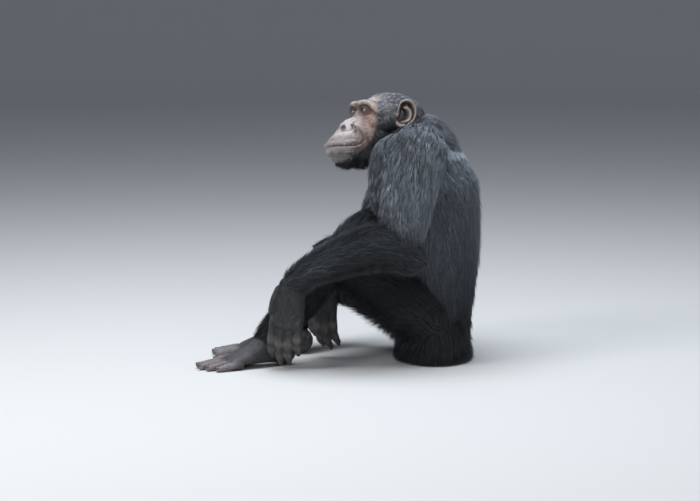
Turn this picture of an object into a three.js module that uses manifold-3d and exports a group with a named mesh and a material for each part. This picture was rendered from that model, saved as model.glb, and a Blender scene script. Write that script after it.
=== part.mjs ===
// A life-size chimpanzee sitting on flat ground, one arm let down outside its raised knee.
// Millimetres, +Z up. It faces -X with its left side towards -Y, and the origin is on the
// floor under the rump. The solids show the body to about half the depth of its coat, and
// flat tapered locks carry the coat from there to its tips.
import * as THREE from 'three';
import { mergeVertices } from 'three/addons/utils/BufferGeometryUtils.js';
import Module from 'manifold-3d';

const wasm = await Module();
wasm.setup();

const seam = 0.35; // gap left between two nodes that touch
const seed = 3; // of the small changes from lock to lock
const floorDepth = 120; // how far the block that cuts the flats reaches below the floor

// Trunk: centre, half width across the body and half depth fore and aft, from rump to nape
const trunkStations = [
  [-14, 0, 22, 116, 64],
  [-15, 0, 85, 130, 82],
  [-13, 0, 160, 126, 92],
  [-15, 0, 232, 128, 104],
  [-21, 0, 303, 140, 113],
  [-30, 0, 374, 148, 120],
  [-36, 0, 430, 146, 115],
  [-34, 0, 472, 128, 92],
];
const trunkBulge = 0.6; // height of its domed ends over their smaller half size
const beltHeight = 122; // where the rump meets the belly
const ribHeight = 262; // where the belly meets the chest
const trunkTop = 600; // above all of the trunk

const neckStations = [
  [-40, 0, 470, 94, 84],
  [-64, 0, 512, 80, 77],
  [-88, 0, 536, 58, 58],
];

// Arms: shoulder to elbow, elbow to wrist, with half width and half depth
const upperArmStations = {
  left: [
    [-52, -122, 506, 66, 58],
    [-64, -150, 466, 66, 56],
    [-80, -180, 400, 59, 53],
    [-92, -204, 335, 54, 50],
    [-99, -219, 284, 44, 43],
  ],
  right: [
    [-54, 122, 504, 66, 58],
    [-72, 150, 448, 66, 56],
    [-100, 172, 388, 59, 53],
    [-128, 184, 330, 53, 50],
    [-146, 188, 284, 44, 43],
  ],
};
const forearmStations = {
  left: [
    [-82, -221, 270, 38, 38],
    [-146, -226, 292, 50, 49],
    [-222, -227, 271, 43, 42],
    [-294, -222, 240, 34, 33],
    [-338, -214, 207, 29, 26],
  ],
  right: [
    [-142, 192, 274, 38, 38],
    [-176, 146, 282, 47, 46],
    [-214, 80, 262, 41, 40],
    [-252, 20, 238, 33, 32],
    [-272, -12, 220, 29, 26],
  ],
};

// Legs: hip to knee, knee to ankle
const thighStations = {
  left: [
    [-14, -72, 84, 72, 68],
    [-62, -86, 132, 76, 70],
    [-130, -97, 180, 68, 63],
    [-200, -106, 222, 58, 55],
    [-250, -110, 250, 52, 50],
  ],
  right: [
    [-14, 72, 84, 72, 68],
    [-62, 98, 112, 76, 70],
    [-128, 130, 134, 68, 63],
    [-196, 164, 152, 58, 55],
    [-248, 188, 166, 52, 50],
  ],
};
const shinStations = {
  left: [
    [-252, -110, 246, 50, 50],
    [-294, -109, 192, 52, 50],
    [-342, -109, 134, 44, 44],
    [-400, -112, 62, 36, 35],
  ],
  right: [
    [-250, 188, 162, 50, 50],
    [-284, 154, 136, 52, 50],
    [-326, 108, 100, 44, 44],
    [-366, 60, 60, 36, 35],
  ],
};

// Feet: the ankle's place on the floor and the way the toes point, in degrees from -X
const footPlace = {
  left: { at: [-400, -112, 0], turn: 25 },
  right: { at: [-366, 60, 0], turn: 6 },
};
const footStations = [
  [-40, 0, 30, 27, 30],
  [-8, 0, 40, 31, 34],
  [28, 2, 36, 34, 30],
  [66, 4, 24, 38, 20],
  [98, 5, 16, 38, 13],
];
// Toes: root and tip ahead of the ankle, root and tip across the foot, half thickness
const toes = {
  big_toe: { root: [30, -18], tip: [104, -60], thick: 13 },
  second_toe: { root: [92, -22], tip: [164, -26], thick: 9.4 },
  third_toe: { root: [94, -1], tip: [168, -2], thick: 9.4 },
  fourth_toe: { root: [92, 19], tip: [160, 22], thick: 9 },
  little_toe: { root: [86, 38], tip: [145, 45], thick: 8.4 },
};

// Hands: the wrist, the way the fingers point and the way the back of the hand looks
const handPlace = {
  left: { at: [-344, -212, 196], along: [-0.16, 0.04, -1], back: [-0.28, -0.96, 0] },
  right: { at: [-274, -16, 210], along: [-0.06, -0.05, -1], back: [-0.5, -0.86, 0] },
};
const palmStations = [
  [-6, 0, 0, 29, 21],
  [30, 0, 0, 34, 18],
  [66, 0, 0, 40, 16],
  [88, 0, -2, 40, 13],
];
// Fingers: place across the palm (thumb side is plus), root, phalanx lengths, half thickness
const fingers = {
  index_finger: { across: 31, root: 84, bones: [46, 30, 18], thick: 10 },
  middle_finger: { across: 10, root: 88, bones: [50, 34, 19], thick: 10.2 },
  ring_finger: { across: -11, root: 87, bones: [48, 32, 19], thick: 10 },
  little_finger: { across: -31, root: 82, bones: [38, 25, 17], thick: 9.2 },
};
const fingerCurl = [8, 26, 52]; // bend of each phalanx towards the palm, in degrees
const thumb = { root: [14, 26, -8], tip: [70, 44, -22], thick: 12 };

// Head: its own frame is +X forward, +Y left, +Z up from between the ear holes
const headPlace = { at: [-121, 0, 563], turn: 210, pitch: -5, roll: 9 };
const eyeAt = [75.5, 27, 14];
const eyeRadius = 11.5;
const lidThickness = 2.4;
const lidOpening = [10.5, 5.2]; // half width and half height
// The line of the mouth from the left corner to the middle, with the lips' fullness
const lipLine = [
  [92, 38, -55, 0.6],
  [112, 37, -64, 0.85],
  [130, 35, -68, 1],
  [150, 24, -69.5, 1.1],
  [158, 0, -70, 1.1],
];
const earAt = [-2, 73, 8];
const earSize = [9, 25, 33]; // half depth, half width and half height
const earSpread = 30; // how far the rear edge stands out from the head, in degrees

// A lock's rings from root to tip: where they lie along it, its width and thickness there as
// shares of the full ones, and the height of its middle over the limb
const lockProfile = {
  along: [0, 0.24, 0.62, 1],
  width: [0.4, 0.95, 0.86, 0],
  thick: [1, 1, 1, 0],
  rise: [-8, 2.8, 7.6, 12.5],
};
const lockThickness = 3.6;
const strayed = 0.08; // a lock with more than this share inside its neighbours is left out

// Rows of locks round each limb: the way that the hair lies along its stations, where the
// roots of the first and last rows are from 0 to 1, and a lock's length and width
const coats = {
  trunk: { lie: -1, first: 0.99, last: 0.3, rows: 4, around: 6, length: 122, width: 82 },
  upperArm: { lie: 1, first: 0.05, last: 0.5, rows: 2, around: 4, length: 122, width: 56 },
  forearm: { lie: -1, first: 0.95, last: 0.5, rows: 2, around: 3, length: 116, width: 44 },
  thigh: { lie: 1, first: 0.24, last: 0.6, rows: 2, around: 3, length: 112, width: 69 },
  shin: { lie: 1, first: 0.1, last: 0.52, rows: 2, around: 3, length: 86, width: 49 },
  cranium: { lie: 1, first: 0.56, last: 0.56, rows: 1, around: 6, length: 60, width: 38 },
};

// The top of the head as stations from the forehead back, in the head's own frame
const craniumStations = [
  [66, 0, 8, 37, 32],
  [40, 0, 8, 54, 48],
  [-4, 0, 8, 64, 56],
  [-48, 0, 8, 54, 48],
  [-78, 0, 8, 32, 28],
];

function vector(p) {
  return new THREE.Vector3(...p);
}

// A closed geometry as a solid that can be joined and cut
function solidOf(geometry) {
  const bare = new THREE.BufferGeometry();
  bare.setAttribute('position', geometry.getAttribute('position'));
  bare.setIndex(geometry.getIndex());
  const welded = mergeVertices(bare, 1e-4);
  return new wasm.Manifold(new wasm.Mesh({
    numProp: 3,
    vertProperties: new Float32Array(welded.getAttribute('position').array),
    triVerts: new Uint32Array(welded.getIndex().array),
  }));
}

// The path through the stations: at t, its centre, its way, its two cross directions and half sizes
function frameAlong(stations, across, map) {
  const placed = map ? stations.map(([x, y, z, w, d]) => [...map([x, y, z]), w, d]) : stations;
  const path = new THREE.CatmullRomCurve3(placed.map((s) => vector(s)));
  const girth = new THREE.CatmullRomCurve3(placed.map((s) => new THREE.Vector3(s[3], s[4], 0)));
  const side = vector(across);
  const at = (t) => {
    const centre = path.getPoint(t);
    const tangent = path.getTangent(t);
    const size = girth.getPoint(t);
    const a = side.clone().addScaledVector(tangent, -side.dot(tangent)).normalize();
    return { centre, tangent, size, a, b: a.clone().cross(tangent) };
  };
  return { at, length: path.getLength() };
}

// A capsule bent along the stations: a point's turn round the capsule sets where it lies on
// the cross-section, and its height sets how far along the path it is
function limb(stations, options = {}) {
  const { across = [0, 1, 0], around = 16, along = 10, cap = 3, bulge = 1, grow = 0, map } = options;
  const frame = frameAlong(stations, across, map);
  const geometry = new THREE.CapsuleGeometry(1, 1, cap, around, along);
  const place = geometry.getAttribute('position');
  for (let i = 0; i < place.count; i++) {
    const [x, y, z] = [place.getX(i), place.getY(i), place.getZ(i)];
    const beyond = y - THREE.MathUtils.clamp(y, -0.5, 0.5);
    const { centre, tangent, size, a, b } = frame.at(THREE.MathUtils.clamp(y + 0.5, 0, 1));
    size.addScalar(grow);
    centre.addScaledVector(a, x * size.x).addScaledVector(b, z * size.y);
    centre.addScaledVector(tangent, beyond * Math.min(size.x, size.y) * bulge);
    place.setXYZ(i, centre.x, centre.y, centre.z);
  }
  return solidOf(geometry);
}

// An ellipsoid in the head's frame
function lump(at, radii, { around = 16, along = 10, grow = 0, tilt = [0, 0, 0] } = {}) {
  const geometry = new THREE.SphereGeometry(1, around, along);
  geometry.scale(radii[0] + grow, radii[1] + grow, radii[2] + grow);
  geometry.rotateX(tilt[0]).rotateY(tilt[1]).rotateZ(tilt[2]);
  geometry.translate(...at);
  return solidOf(geometry);
}

function box(low, high) {
  const geometry = new THREE.BoxGeometry(high[0] - low[0], high[1] - low[1], high[2] - low[2]);
  geometry.translate((low[0] + high[0]) / 2, (low[1] + high[1]) / 2, (low[2] + high[2]) / 2);
  return solidOf(geometry);
}

function joined(solids) {
  return solids.reduce((all, one) => all.add(one));
}

function largest(solid) {
  return solid.decompose().reduce((best, one) => (one.volume() > best.volume() ? one : best));
}

function radians(degrees) {
  return THREE.MathUtils.degToRad(degrees);
}

// What lies below the floor, cut from every node that rests on it
const ground = box([-900, -600, -floorDepth], [500, 600, 0]);

function trunk(grow = 0) {
  return limb(trunkStations, { around: 24, along: 14, cap: 3, bulge: trunkBulge, grow });
}

function neck(grow = 0) {
  return limb(neckStations, { around: 16, along: 4, cap: 3, grow });
}

function upperArm(name, grow = 0) {
  return limb(upperArmStations[name], { across: [1, 0, 0], around: 14, along: 7, grow });
}

function forearm(name, grow = 0) {
  return limb(forearmStations[name], { across: [0, 0, 1], around: 12, along: 7, grow });
}

function thigh(name, grow = 0) {
  return limb(thighStations[name], { across: [0, 1, 0], around: 14, along: 7, grow });
}

function shin(name, grow = 0) {
  return limb(shinStations[name], { across: [0.6, 0.6, 0], around: 12, along: 6, grow });
}

// From the hand's own frame, along the fingers, towards the thumb and out of the back
function handMap(name) {
  const { at, along, back } = handPlace[name];
  const x = vector(along).normalize();
  const z = vector(back).addScaledVector(x, -vector(back).dot(x)).normalize();
  const y = z.clone().cross(x).multiplyScalar(name === 'left' ? -1 : 1);
  const matrix = new THREE.Matrix4().makeBasis(x, y, z).setPosition(...at);
  return (p) => vector(p).applyMatrix4(matrix).toArray();
}

function handSide(name) {
  const map = handMap(name);
  return vector(map([0, 1, 0])).sub(vector(map([0, 0, 0]))).toArray();
}

function palm(name, grow = 0) {
  const across = handSide(name);
  return limb(palmStations, { across, around: 12, along: 4, cap: 2, grow, map: handMap(name) });
}

// A finger's joints, each phalanx bent a little more towards the palm
function fingerJoints({ across, root, bones }) {
  const joints = [[root, across, -2]];
  bones.forEach((length, i) => {
    const [x, y, z] = joints[i];
    const bend = radians(fingerCurl[i]);
    joints.push([x + length * Math.cos(bend), y, z - length * Math.sin(bend)]);
  });
  return joints;
}

function finger(name, spec, grow = 0) {
  const joints = fingerJoints(spec);
  const thins = [1, 0.96, 0.84, 0.66];
  const stations = joints.map((p, i) => [...p, spec.thick * thins[i], spec.thick * thins[i] * 0.95]);
  return limb(stations, { across: handSide(name), around: 6, along: 6, cap: 1, grow, map: handMap(name) });
}

function thumbForm(name, grow = 0) {
  const { root, tip, thick } = thumb;
  const middle = root.map((v, i) => (v + tip[i]) / 2 + [0, 4, -2][i]);
  const stations = [
    [...root, thick * 1.3, thick * 1.1],
    [...middle, thick, thick * 0.95],
    [...tip, thick * 0.72, thick * 0.7],
  ];
  return limb(stations, { across: handSide(name), around: 6, along: 4, cap: 1, grow, map: handMap(name) });
}

// From the foot's own frame, forwards, outwards and up
function footMap(name) {
  const { at, turn } = footPlace[name];
  const heading = Math.PI + radians(turn);
  const x = new THREE.Vector3(Math.cos(heading), Math.sin(heading), 0);
  const y = new THREE.Vector3(0, 0, 1).cross(x).multiplyScalar(name === 'left' ? 1 : -1);
  return (p) => vector(at).addScaledVector(x, p[0]).addScaledVector(y, p[1]).setZ(p[2]).toArray();
}

function footSide(name) {
  const map = footMap(name);
  return vector(map([0, 1, 0])).sub(vector(map([0, 0, 0]))).toArray();
}

function foot(name, grow = 0) {
  const across = footSide(name);
  return limb(footStations, { across, around: 12, along: 6, cap: 2, grow, map: footMap(name) });
}

// A toe arches over its middle joint and comes down on its pad
function toe(name, { root, tip, thick }, grow = 0) {
  const point = (t, z) => [root[0] + (tip[0] - root[0]) * t, root[1] + (tip[1] - root[1]) * t, z];
  const stations = [
    [...point(0, thick + 2), thick, thick],
    [...point(0.45, thick + 3), thick, thick * 0.96],
    [...point(0.8, thick * 0.95), thick * 0.9, thick * 0.9],
    [...point(1, thick * 0.72), thick * 0.74, thick * 0.72],
  ];
  return limb(stations, { across: footSide(name), around: 6, along: 4, cap: 1, grow, map: footMap(name) });
}

function headMatrix() {
  const { at, turn, pitch, roll } = headPlace;
  const matrix = new THREE.Matrix4().makeRotationZ(radians(turn));
  matrix.multiply(new THREE.Matrix4().makeRotationY(radians(pitch)));
  matrix.multiply(new THREE.Matrix4().makeRotationX(radians(roll)));
  return matrix.setPosition(...at);
}

function inHead(solid) {
  return solid.transform(headMatrix().toArray());
}

// The same stations on the other side of the head
function mirrored(stations) {
  return stations.map(([x, y, ...rest]) => [x, -y, ...rest]);
}

// Stations given from the left side to the middle, carried on to the right side
function acrossFace(half) {
  return [...half, ...mirrored(half.slice(0, -1)).reverse()];
}

function eyeball(side, radius, { around = 11, along = 8 } = {}) {
  const [x, y, z] = eyeAt;
  return lump([x, y * side, z], [radius, radius, radius], { around, along });
}

// A lid is a ball round the eye, opened in front by a flat almond
function lids(side) {
  const [x, y, z] = eyeAt;
  const opening = lump([x + 12, y * side, z - 1], [15, ...lidOpening], { around: 8, along: 6 });
  return eyeball(side, eyeRadius + lidThickness).subtract(opening);
}

// Cranium, face, muzzle and jaw
function headBulk(grow = 0) {
  return joined([
    lump([-4, 0, 8], [86, 64, 56], { around: 18, along: 12, grow }),
    lump([46, 0, -4], [47, 60, 45], { around: 16, along: 10, grow }),
    limb([[52, 0, -38, 54, 50], [88, 0, -50, 46, 49], [112, 0, -61, 41, 43], [130, 0, -69, 37, 31]],
      { around: 16, along: 5, cap: 3, grow }),
    limb([[4, 0, -40, 56, 42], [44, 0, -62, 51, 36], [86, 0, -80, 40, 26]], { around: 12, along: 3, grow }),
  ]);
}

// Brow, nose, chin, lips and lids stand on the bulk, and the mouth and the nostrils are cut in
function headForm() {
  const ridge = { across: [0, 0, 1], around: 6, along: 10, cap: 1 };
  const browHalf = [[58, 54, 10, 8, 8], [69, 46, 22, 10, 9], [78, 27, 31, 9.5, 10], [81, 0, 30, 9.5, 9.5]];
  const lip = (rise, size) => acrossFace(lipLine.map(([x, y, z, s]) => [x, y, z + rise, size * s, 6 * s]));
  const slit = acrossFace(lipLine.map(([x, y, z]) => [x + 3, y * 1.06, z, 0.7, 7]));
  const nostril = (side) => {
    const tilt = [side * 0.5, 0.3, 0];
    return lump([130, 11 * side, -28], [8, 5, 4], { around: 6, along: 5, tilt });
  };
  const relief = [
    limb(acrossFace(browHalf), { ...ridge, around: 8, cap: 2 }),
    lump([109, 0, -22], [22, 23, 13], { around: 10, along: 7 }),
    lump([123, 0, -88], [28, 28, 20], { around: 12, along: 6 }),
    limb(lip(6, 6), ridge),
    limb(lip(-7, 7), ridge),
    lids(1),
    lids(-1),
  ];
  const cuts = [limb(slit, { ...ridge, around: 4, along: 12 }), nostril(1), nostril(-1)];
  return joined([headBulk(), ...relief]).subtract(joined(cuts));
}

// An ear stands out from the head as a shallow cup: the way it opens, back along it and up
function earMatrix(side) {
  const spread = radians(earSpread);
  const up = vector([-0.12, 0.1 * side, 1]).normalize();
  const opens = vector([Math.sin(spread), Math.cos(spread) * side, 0]);
  opens.addScaledVector(up, -opens.dot(up)).normalize();
  const back = up.clone().cross(opens);
  return new THREE.Matrix4().makeBasis(opens, back, up).setPosition(earAt[0], earAt[1] * side, earAt[2]);
}

function earDish(side, grow) {
  return lump([0, 0, 0], earSize, { around: 12, along: 9, grow }).transform(earMatrix(side).toArray());
}

function ear(side) {
  const [deep, wide, tall] = earSize;
  const dish = lump([0, 0, 0], earSize, { around: 12, along: 9 });
  const hollow = lump([deep * 0.9, -side, 1], [deep * 1.2, wide - 5, tall - 5], { around: 10, along: 7 });
  const fold = lump([1, 4 * side, -2], [5, 7, 16], { around: 6, along: 5 });
  const guard = lump([3, -wide * 0.68 * side, -7], [6, 6, 8], { around: 6, along: 5 });
  return inHead(joined([dish.subtract(hollow), fold, guard]).transform(earMatrix(side).toArray()));
}

// Numbers from 0 to 1 that come out the same each time
function randomFrom(start) {
  let state = start;
  return () => {
    state = (state * 1664525 + 1013904223) % 4294967296;
    return state / 4294967296;
  };
}

function mix(values, s) {
  const place = THREE.MathUtils.clamp(s, 0, 1) * (values.length - 1);
  const low = Math.min(Math.floor(place), values.length - 2);
  return THREE.MathUtils.lerp(values[low], values[low + 1], place - low);
}

// A flat blade that wraps round the limb: along it the root sinks in and the tip stands off,
// across it the offset is a turn round the limb, so the blade keeps to the limb's curve
function lock(frame, { t, turn, reach, sway, bow, width, tall }, grow = 0) {
  const geometry = new THREE.ConeGeometry(1, 1, 4, 3);
  const place = geometry.getAttribute('position');
  const hand = -Math.sign(reach);
  const swell = 1 + (2 * grow) / lockThickness;
  for (let i = 0; i < place.count; i++) {
    const ring = place.getY(i) + 0.5;
    const [x, z] = ring < 0.999 ? [place.getX(i) / (1 - ring), place.getZ(i) / (1 - ring)] : [0, 0];
    const s = mix(lockProfile.along, ring);
    const along = Math.min(t + reach * s, 1.03);
    const inside = THREE.MathUtils.clamp(along, 0, 1);
    const { centre, tangent, size, a, b } = frame.at(inside);
    const half = (width / 2) * mix(lockProfile.width, ring) * swell;
    const high = mix(lockProfile.rise, ring) * tall;
    const thick = (lockThickness / 2) * mix(lockProfile.thick, ring) * swell + grow * ring;
    const middle = turn + sway * s + bow * Math.sin(Math.PI * s);
    const angle = middle + (hand * x * half) / Math.min(size.x, size.y);
    centre.addScaledVector(a, Math.cos(angle) * (size.x + high + z * thick));
    centre.addScaledVector(b, Math.sin(angle) * (size.y + high + z * thick));
    centre.addScaledVector(tangent, (along - inside) * frame.length + s * grow);
    place.setXYZ(i, centre.x, centre.y, centre.z);
  }
  return solidOf(geometry);
}

// The locks of one limb, staggered from row to row, each with its grown form
function locksOn(stations, across, coat, random) {
  const frame = frameAlong(stations, across);
  const lie = coat.lie;
  const found = [];
  for (let row = 0; row < coat.rows; row++) {
    for (let i = 0; i < coat.around; i++) {
      const spread = (low, high) => THREE.MathUtils.lerp(low, high, random());
      const spec = {
        t: mix([coat.first, coat.last], coat.rows > 1 ? row / (coat.rows - 1) : 0) + spread(-0.02, 0.02),
        turn: ((i + (row % 2) / 2 + spread(-0.08, 0.08)) / coat.around) * 2 * Math.PI,
        reach: (lie * coat.length * spread(0.9, 1.08)) / frame.length,
        sway: spread(-0.1, 0.1),
        bow: spread(-0.06, 0.06),
        width: coat.width * spread(0.88, 1.1),
        tall: spread(0.75, 1),
      };
      const root = frame.at(spec.t).centre.z;
      found.push({ root, own: lock(frame, spec), grown: lock(frame, spec, seam) });
    }
  }
  return found;
}

// The locks that touch none laid on other nodes and lie mostly clear of those nodes' forms,
// with what lies inside the forms cut off
function clearLocks(locks, forms, laid) {
  const kept = [];
  for (const { own, grown } of locks) {
    if (laid.some((other) => !own.intersect(other).isEmpty())) continue;
    const near = forms.filter((form) => !own.intersect(form).isEmpty());
    const left = near.reduce((rest, form) => rest.subtract(form), own);
    if (left.volume() > (1 - strayed) * own.volume()) kept.push({ own: left, grown });
  }
  return kept;
}

// Cutting order: a node is cut by the grown forms of what it grows from
function buildCores() {
  const cores = {};
  const grown = {};
  const body = trunk();
  const bodyGrown = trunk(seam);
  const levels = {
    rump: [-floorDepth, beltHeight],
    belly: [beltHeight, ribHeight],
    chest: [ribHeight, trunkTop],
  };
  for (const [name, [low, high]] of Object.entries(levels)) {
    const slice = (inset) => box([-400, -400, low + inset], [400, 400, high - inset]);
    cores[name] = body.intersect(slice(seam / 2)).subtract(ground);
    grown[name] = bodyGrown.intersect(slice(-seam / 2));
  }
  grown.neck = neck(seam);
  cores.neck = neck().subtract(bodyGrown);
  grown.head = inHead(headBulk(seam));
  cores.head = inHead(headForm()).subtract(grown.neck).subtract(bodyGrown);
  for (const [name, side] of [['left', 1], ['right', -1]]) {
    cores[`eye_${name}`] = inHead(eyeball(side, eyeRadius));
    cores.head = cores.head.subtract(inHead(eyeball(side, eyeRadius + seam)));
    grown[`ear_${name}`] = inHead(earDish(side, seam));
    cores[`ear_${name}`] = ear(side).subtract(grown.head).subtract(grown.neck).subtract(bodyGrown);
    const [armGrown, thighGrown, shinGrown] = [upperArm(name, seam), thigh(name, seam), shin(name, seam)];
    Object.assign(grown, { [`upper_arm_${name}`]: armGrown, [`thigh_${name}`]: thighGrown });
    Object.assign(grown, { [`shin_${name}`]: shinGrown, [`foot_${name}`]: foot(name, seam) });
    Object.assign(grown, { [`forearm_${name}`]: forearm(name, seam), [`hand_${name}`]: palm(name, seam) });
    const arm = upperArm(name).subtract(bodyGrown);
    cores[`upper_arm_${name}`] = arm.subtract(grown.neck).subtract(grown.head);
    cores[`forearm_${name}`] = forearm(name).subtract(armGrown).subtract(bodyGrown);
    cores[`hand_${name}`] = palm(name).subtract(grown[`forearm_${name}`]);
    for (const [digit, spec] of Object.entries(fingers)) {
      cores[`${digit}_${name}`] = finger(name, spec).subtract(grown[`hand_${name}`]);
    }
    const thumbs = thumbForm(name).subtract(grown[`hand_${name}`]);
    cores[`thumb_${name}`] = thumbs.subtract(grown[`forearm_${name}`]);
    cores[`thigh_${name}`] = thigh(name).subtract(bodyGrown).subtract(ground);
    cores[`shin_${name}`] = shin(name).subtract(thighGrown);
    cores[`foot_${name}`] = foot(name).subtract(shinGrown).subtract(ground);
    for (const [digit, spec] of Object.entries(toes)) {
      cores[`${digit}_${name}`] = toe(name, spec).subtract(grown[`foot_${name}`]).subtract(ground);
    }
  }
  return { cores, grown };
}

// The locks of every node, the trunk's shared out by the height of their roots
function growCoat() {
  const random = randomFrom(seed);
  const onTrunk = locksOn(trunkStations, [0, 1, 0], coats.trunk, random);
  const between = (low, high) => onTrunk.filter(({ root }) => root > low && root <= high);
  const coat = {
    chest: between(ribHeight, trunkTop),
    belly: between(beltHeight, ribHeight),
    rump: between(0, beltHeight),
  };
  const skull = locksOn(craniumStations, [0, 1, 0], coats.cranium, random);
  coat.head = skull.map(({ own, grown }) => ({ own: inHead(own), grown: inHead(grown) }));
  for (const name of ['left', 'right']) {
    coat[`upper_arm_${name}`] = locksOn(upperArmStations[name], [1, 0, 0], coats.upperArm, random);
    coat[`forearm_${name}`] = locksOn(forearmStations[name], [0, 0, 1], coats.forearm, random);
    coat[`thigh_${name}`] = locksOn(thighStations[name], [0, 1, 0], coats.thigh, random);
    coat[`shin_${name}`] = locksOn(shinStations[name], [0.6, 0.6, 0], coats.shin, random);
  }
  return coat;
}

function build() {
  const { cores, grown } = buildCores();
  const nodes = Object.fromEntries(Object.entries(cores).map(([name, core]) => [name, largest(core)]));
  const laid = [];
  for (const [name, locks] of Object.entries(growCoat())) {
    const neighbours = Object.entries(grown).filter(([other]) => other !== name).map(([, form]) => form);
    const kept = clearLocks(locks, [...neighbours, ground], laid);
    nodes[name] = largest(joined([cores[name], ...kept.map(({ own }) => own)]));
    laid.push(...kept.map((one) => one.grown));
  }
  return nodes;
}

const colours = { skin: 0x6d5247, fur: 0x17161a, eye: 0x3a2416 };

function materialFor(name) {
  if (name.startsWith('eye')) {
    return new THREE.MeshStandardMaterial({ color: colours.eye, roughness: 0.15 });
  }
  const bare = /finger|thumb|toe/.test(name);
  return new THREE.MeshStandardMaterial({ color: bare ? colours.skin : colours.fur, roughness: 0.7 });
}

const chimpanzee = new THREE.Group();
for (const [name, solid] of Object.entries(build())) {
  const mesh = solid.getMesh();
  const geometry = new THREE.BufferGeometry();
  geometry.setAttribute('position', new THREE.BufferAttribute(mesh.vertProperties, 3));
  geometry.setIndex(new THREE.BufferAttribute(mesh.triVerts, 1));
  const node = new THREE.Mesh(geometry, materialFor(name));
  node.name = name;
  chimpanzee.add(node);
}

export default chimpanzee;
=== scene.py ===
import bpy
import numpy as np
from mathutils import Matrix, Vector


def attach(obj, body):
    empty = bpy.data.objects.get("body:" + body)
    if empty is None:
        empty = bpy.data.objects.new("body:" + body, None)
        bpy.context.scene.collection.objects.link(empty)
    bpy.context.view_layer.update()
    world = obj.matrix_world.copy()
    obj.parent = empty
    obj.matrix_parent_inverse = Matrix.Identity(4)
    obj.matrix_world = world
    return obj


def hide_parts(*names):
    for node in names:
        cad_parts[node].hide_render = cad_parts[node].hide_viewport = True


# A seated chimpanzee, in the frame of the solids: metres, +Z up, the animal faces -X with its
# left side towards -Y. The skin, the coat and the face are dressed over the same stations.

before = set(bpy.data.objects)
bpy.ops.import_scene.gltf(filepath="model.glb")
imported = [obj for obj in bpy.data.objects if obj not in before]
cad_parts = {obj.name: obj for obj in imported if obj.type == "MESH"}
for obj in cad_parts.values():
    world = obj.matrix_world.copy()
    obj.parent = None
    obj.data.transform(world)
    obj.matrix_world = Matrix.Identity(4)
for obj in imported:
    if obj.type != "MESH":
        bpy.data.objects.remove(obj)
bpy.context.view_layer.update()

mm = 0.001

# Camera

cameraPlace = {
    "target": (-0.2115, 0.0, 0.2545),
    "distance": 6.5,
    "elevation": 7.0,
    "lens": 142.25,
    "sensor": 36.0,
}


def makeCamera(place):
    tilt = np.radians(place["elevation"])
    back = np.array([0.0, -np.cos(tilt), np.sin(tilt)]) * place["distance"]
    camera = bpy.data.objects.new("camera", bpy.data.cameras.new("camera"))
    bpy.context.collection.objects.link(camera)
    camera.location = Vector(place["target"]) + Vector(back)
    camera.rotation_euler = (Vector(place["target"]) - camera.location).to_track_quat("-Z", "Y").to_euler()
    camera.data.lens = place["lens"]
    camera.data.sensor_width = place["sensor"]
    camera.data.dof.use_dof = False
    bpy.context.scene.camera = camera
    return camera


makeCamera(cameraPlace)

# Limbs: stations of centre, half width and half depth in millimetres, as in the solids. They
# give the middle of the coat, with the skin skinDepth inside them and the tips outside them.

skinDepth = 9.0

limbStations = {
    "trunk": [
        (-14, 0, 22, 116, 64), (-15, 0, 85, 130, 82), (-13, 0, 160, 126, 92), (-15, 0, 232, 128, 104),
        (-21, 0, 303, 140, 113), (-30, 0, 374, 148, 120), (-36, 0, 430, 146, 115),
        (-34, 0, 472, 128, 92)],
    "neck": [(-40, 0, 470, 94, 84), (-64, 0, 512, 80, 77), (-88, 0, 536, 58, 58)],
    "upperArmLeft": [
        (-52, -122, 506, 66, 58), (-64, -150, 466, 66, 56), (-80, -180, 400, 59, 53),
        (-92, -204, 335, 54, 50), (-99, -219, 284, 44, 43)],
    "upperArmRight": [
        (-54, 122, 504, 66, 58), (-72, 150, 448, 66, 56), (-100, 172, 388, 59, 53),
        (-128, 184, 330, 53, 50), (-146, 188, 284, 44, 43)],
    "forearmLeft": [
        (-82, -221, 270, 38, 38), (-146, -226, 292, 50, 49), (-222, -227, 271, 43, 42),
        (-294, -222, 240, 34, 33), (-338, -214, 207, 29, 26)],
    "forearmRight": [
        (-142, 192, 274, 38, 38), (-176, 146, 282, 47, 46), (-214, 80, 262, 41, 40),
        (-252, 20, 238, 33, 32), (-272, -12, 220, 29, 26)],
    "thighLeft": [
        (-14, -72, 84, 72, 68), (-62, -86, 132, 76, 70), (-130, -97, 180, 68, 63),
        (-200, -106, 222, 58, 55), (-250, -110, 250, 52, 50)],
    "thighRight": [
        (-14, 72, 84, 72, 68), (-62, 98, 112, 76, 70), (-128, 130, 134, 68, 63),
        (-196, 164, 152, 58, 55), (-248, 188, 166, 52, 50)],
    "shinLeft": [
        (-252, -110, 246, 50, 50), (-294, -109, 192, 52, 50), (-342, -109, 134, 44, 44),
        (-400, -112, 62, 36, 35)],
    "shinRight": [
        (-250, 188, 162, 50, 50), (-284, 154, 136, 52, 50), (-326, 108, 100, 44, 44),
        (-366, 60, 60, 36, 35)],
}

# Hair that runs from the nape out over the left shoulder, and from the neck down in front of it.
# They are mirrored on the right
shoulderStations = {
    "mantle": [
        (-66, -8, 506, 58, 56), (-60, -62, 508, 60, 52), (-54, -112, 502, 64, 58), (-64, -150, 466, 66, 56)],
    "ruff": [
        (-100, -86, 508, 46, 44), (-104, -104, 484, 57, 54), (-108, -120, 446, 57, 54),
        (-110, -136, 396, 54, 50)],
}

# The way across each limb, in which its half width is measured, where it isn't that of the body
limbAcross = {
    "upperArm": (1, 0, 0),
    "forearm": (0, 0, 1),
    "shin": (0.6, 0.6, 0),
    "mantle": (1, 0, 0),
    "ruff": (1, 0, 0),
}
trunkDome = 0.6  # the trunk's ends are flatter than a ball
sides = {"left": 1, "right": -1}


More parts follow.
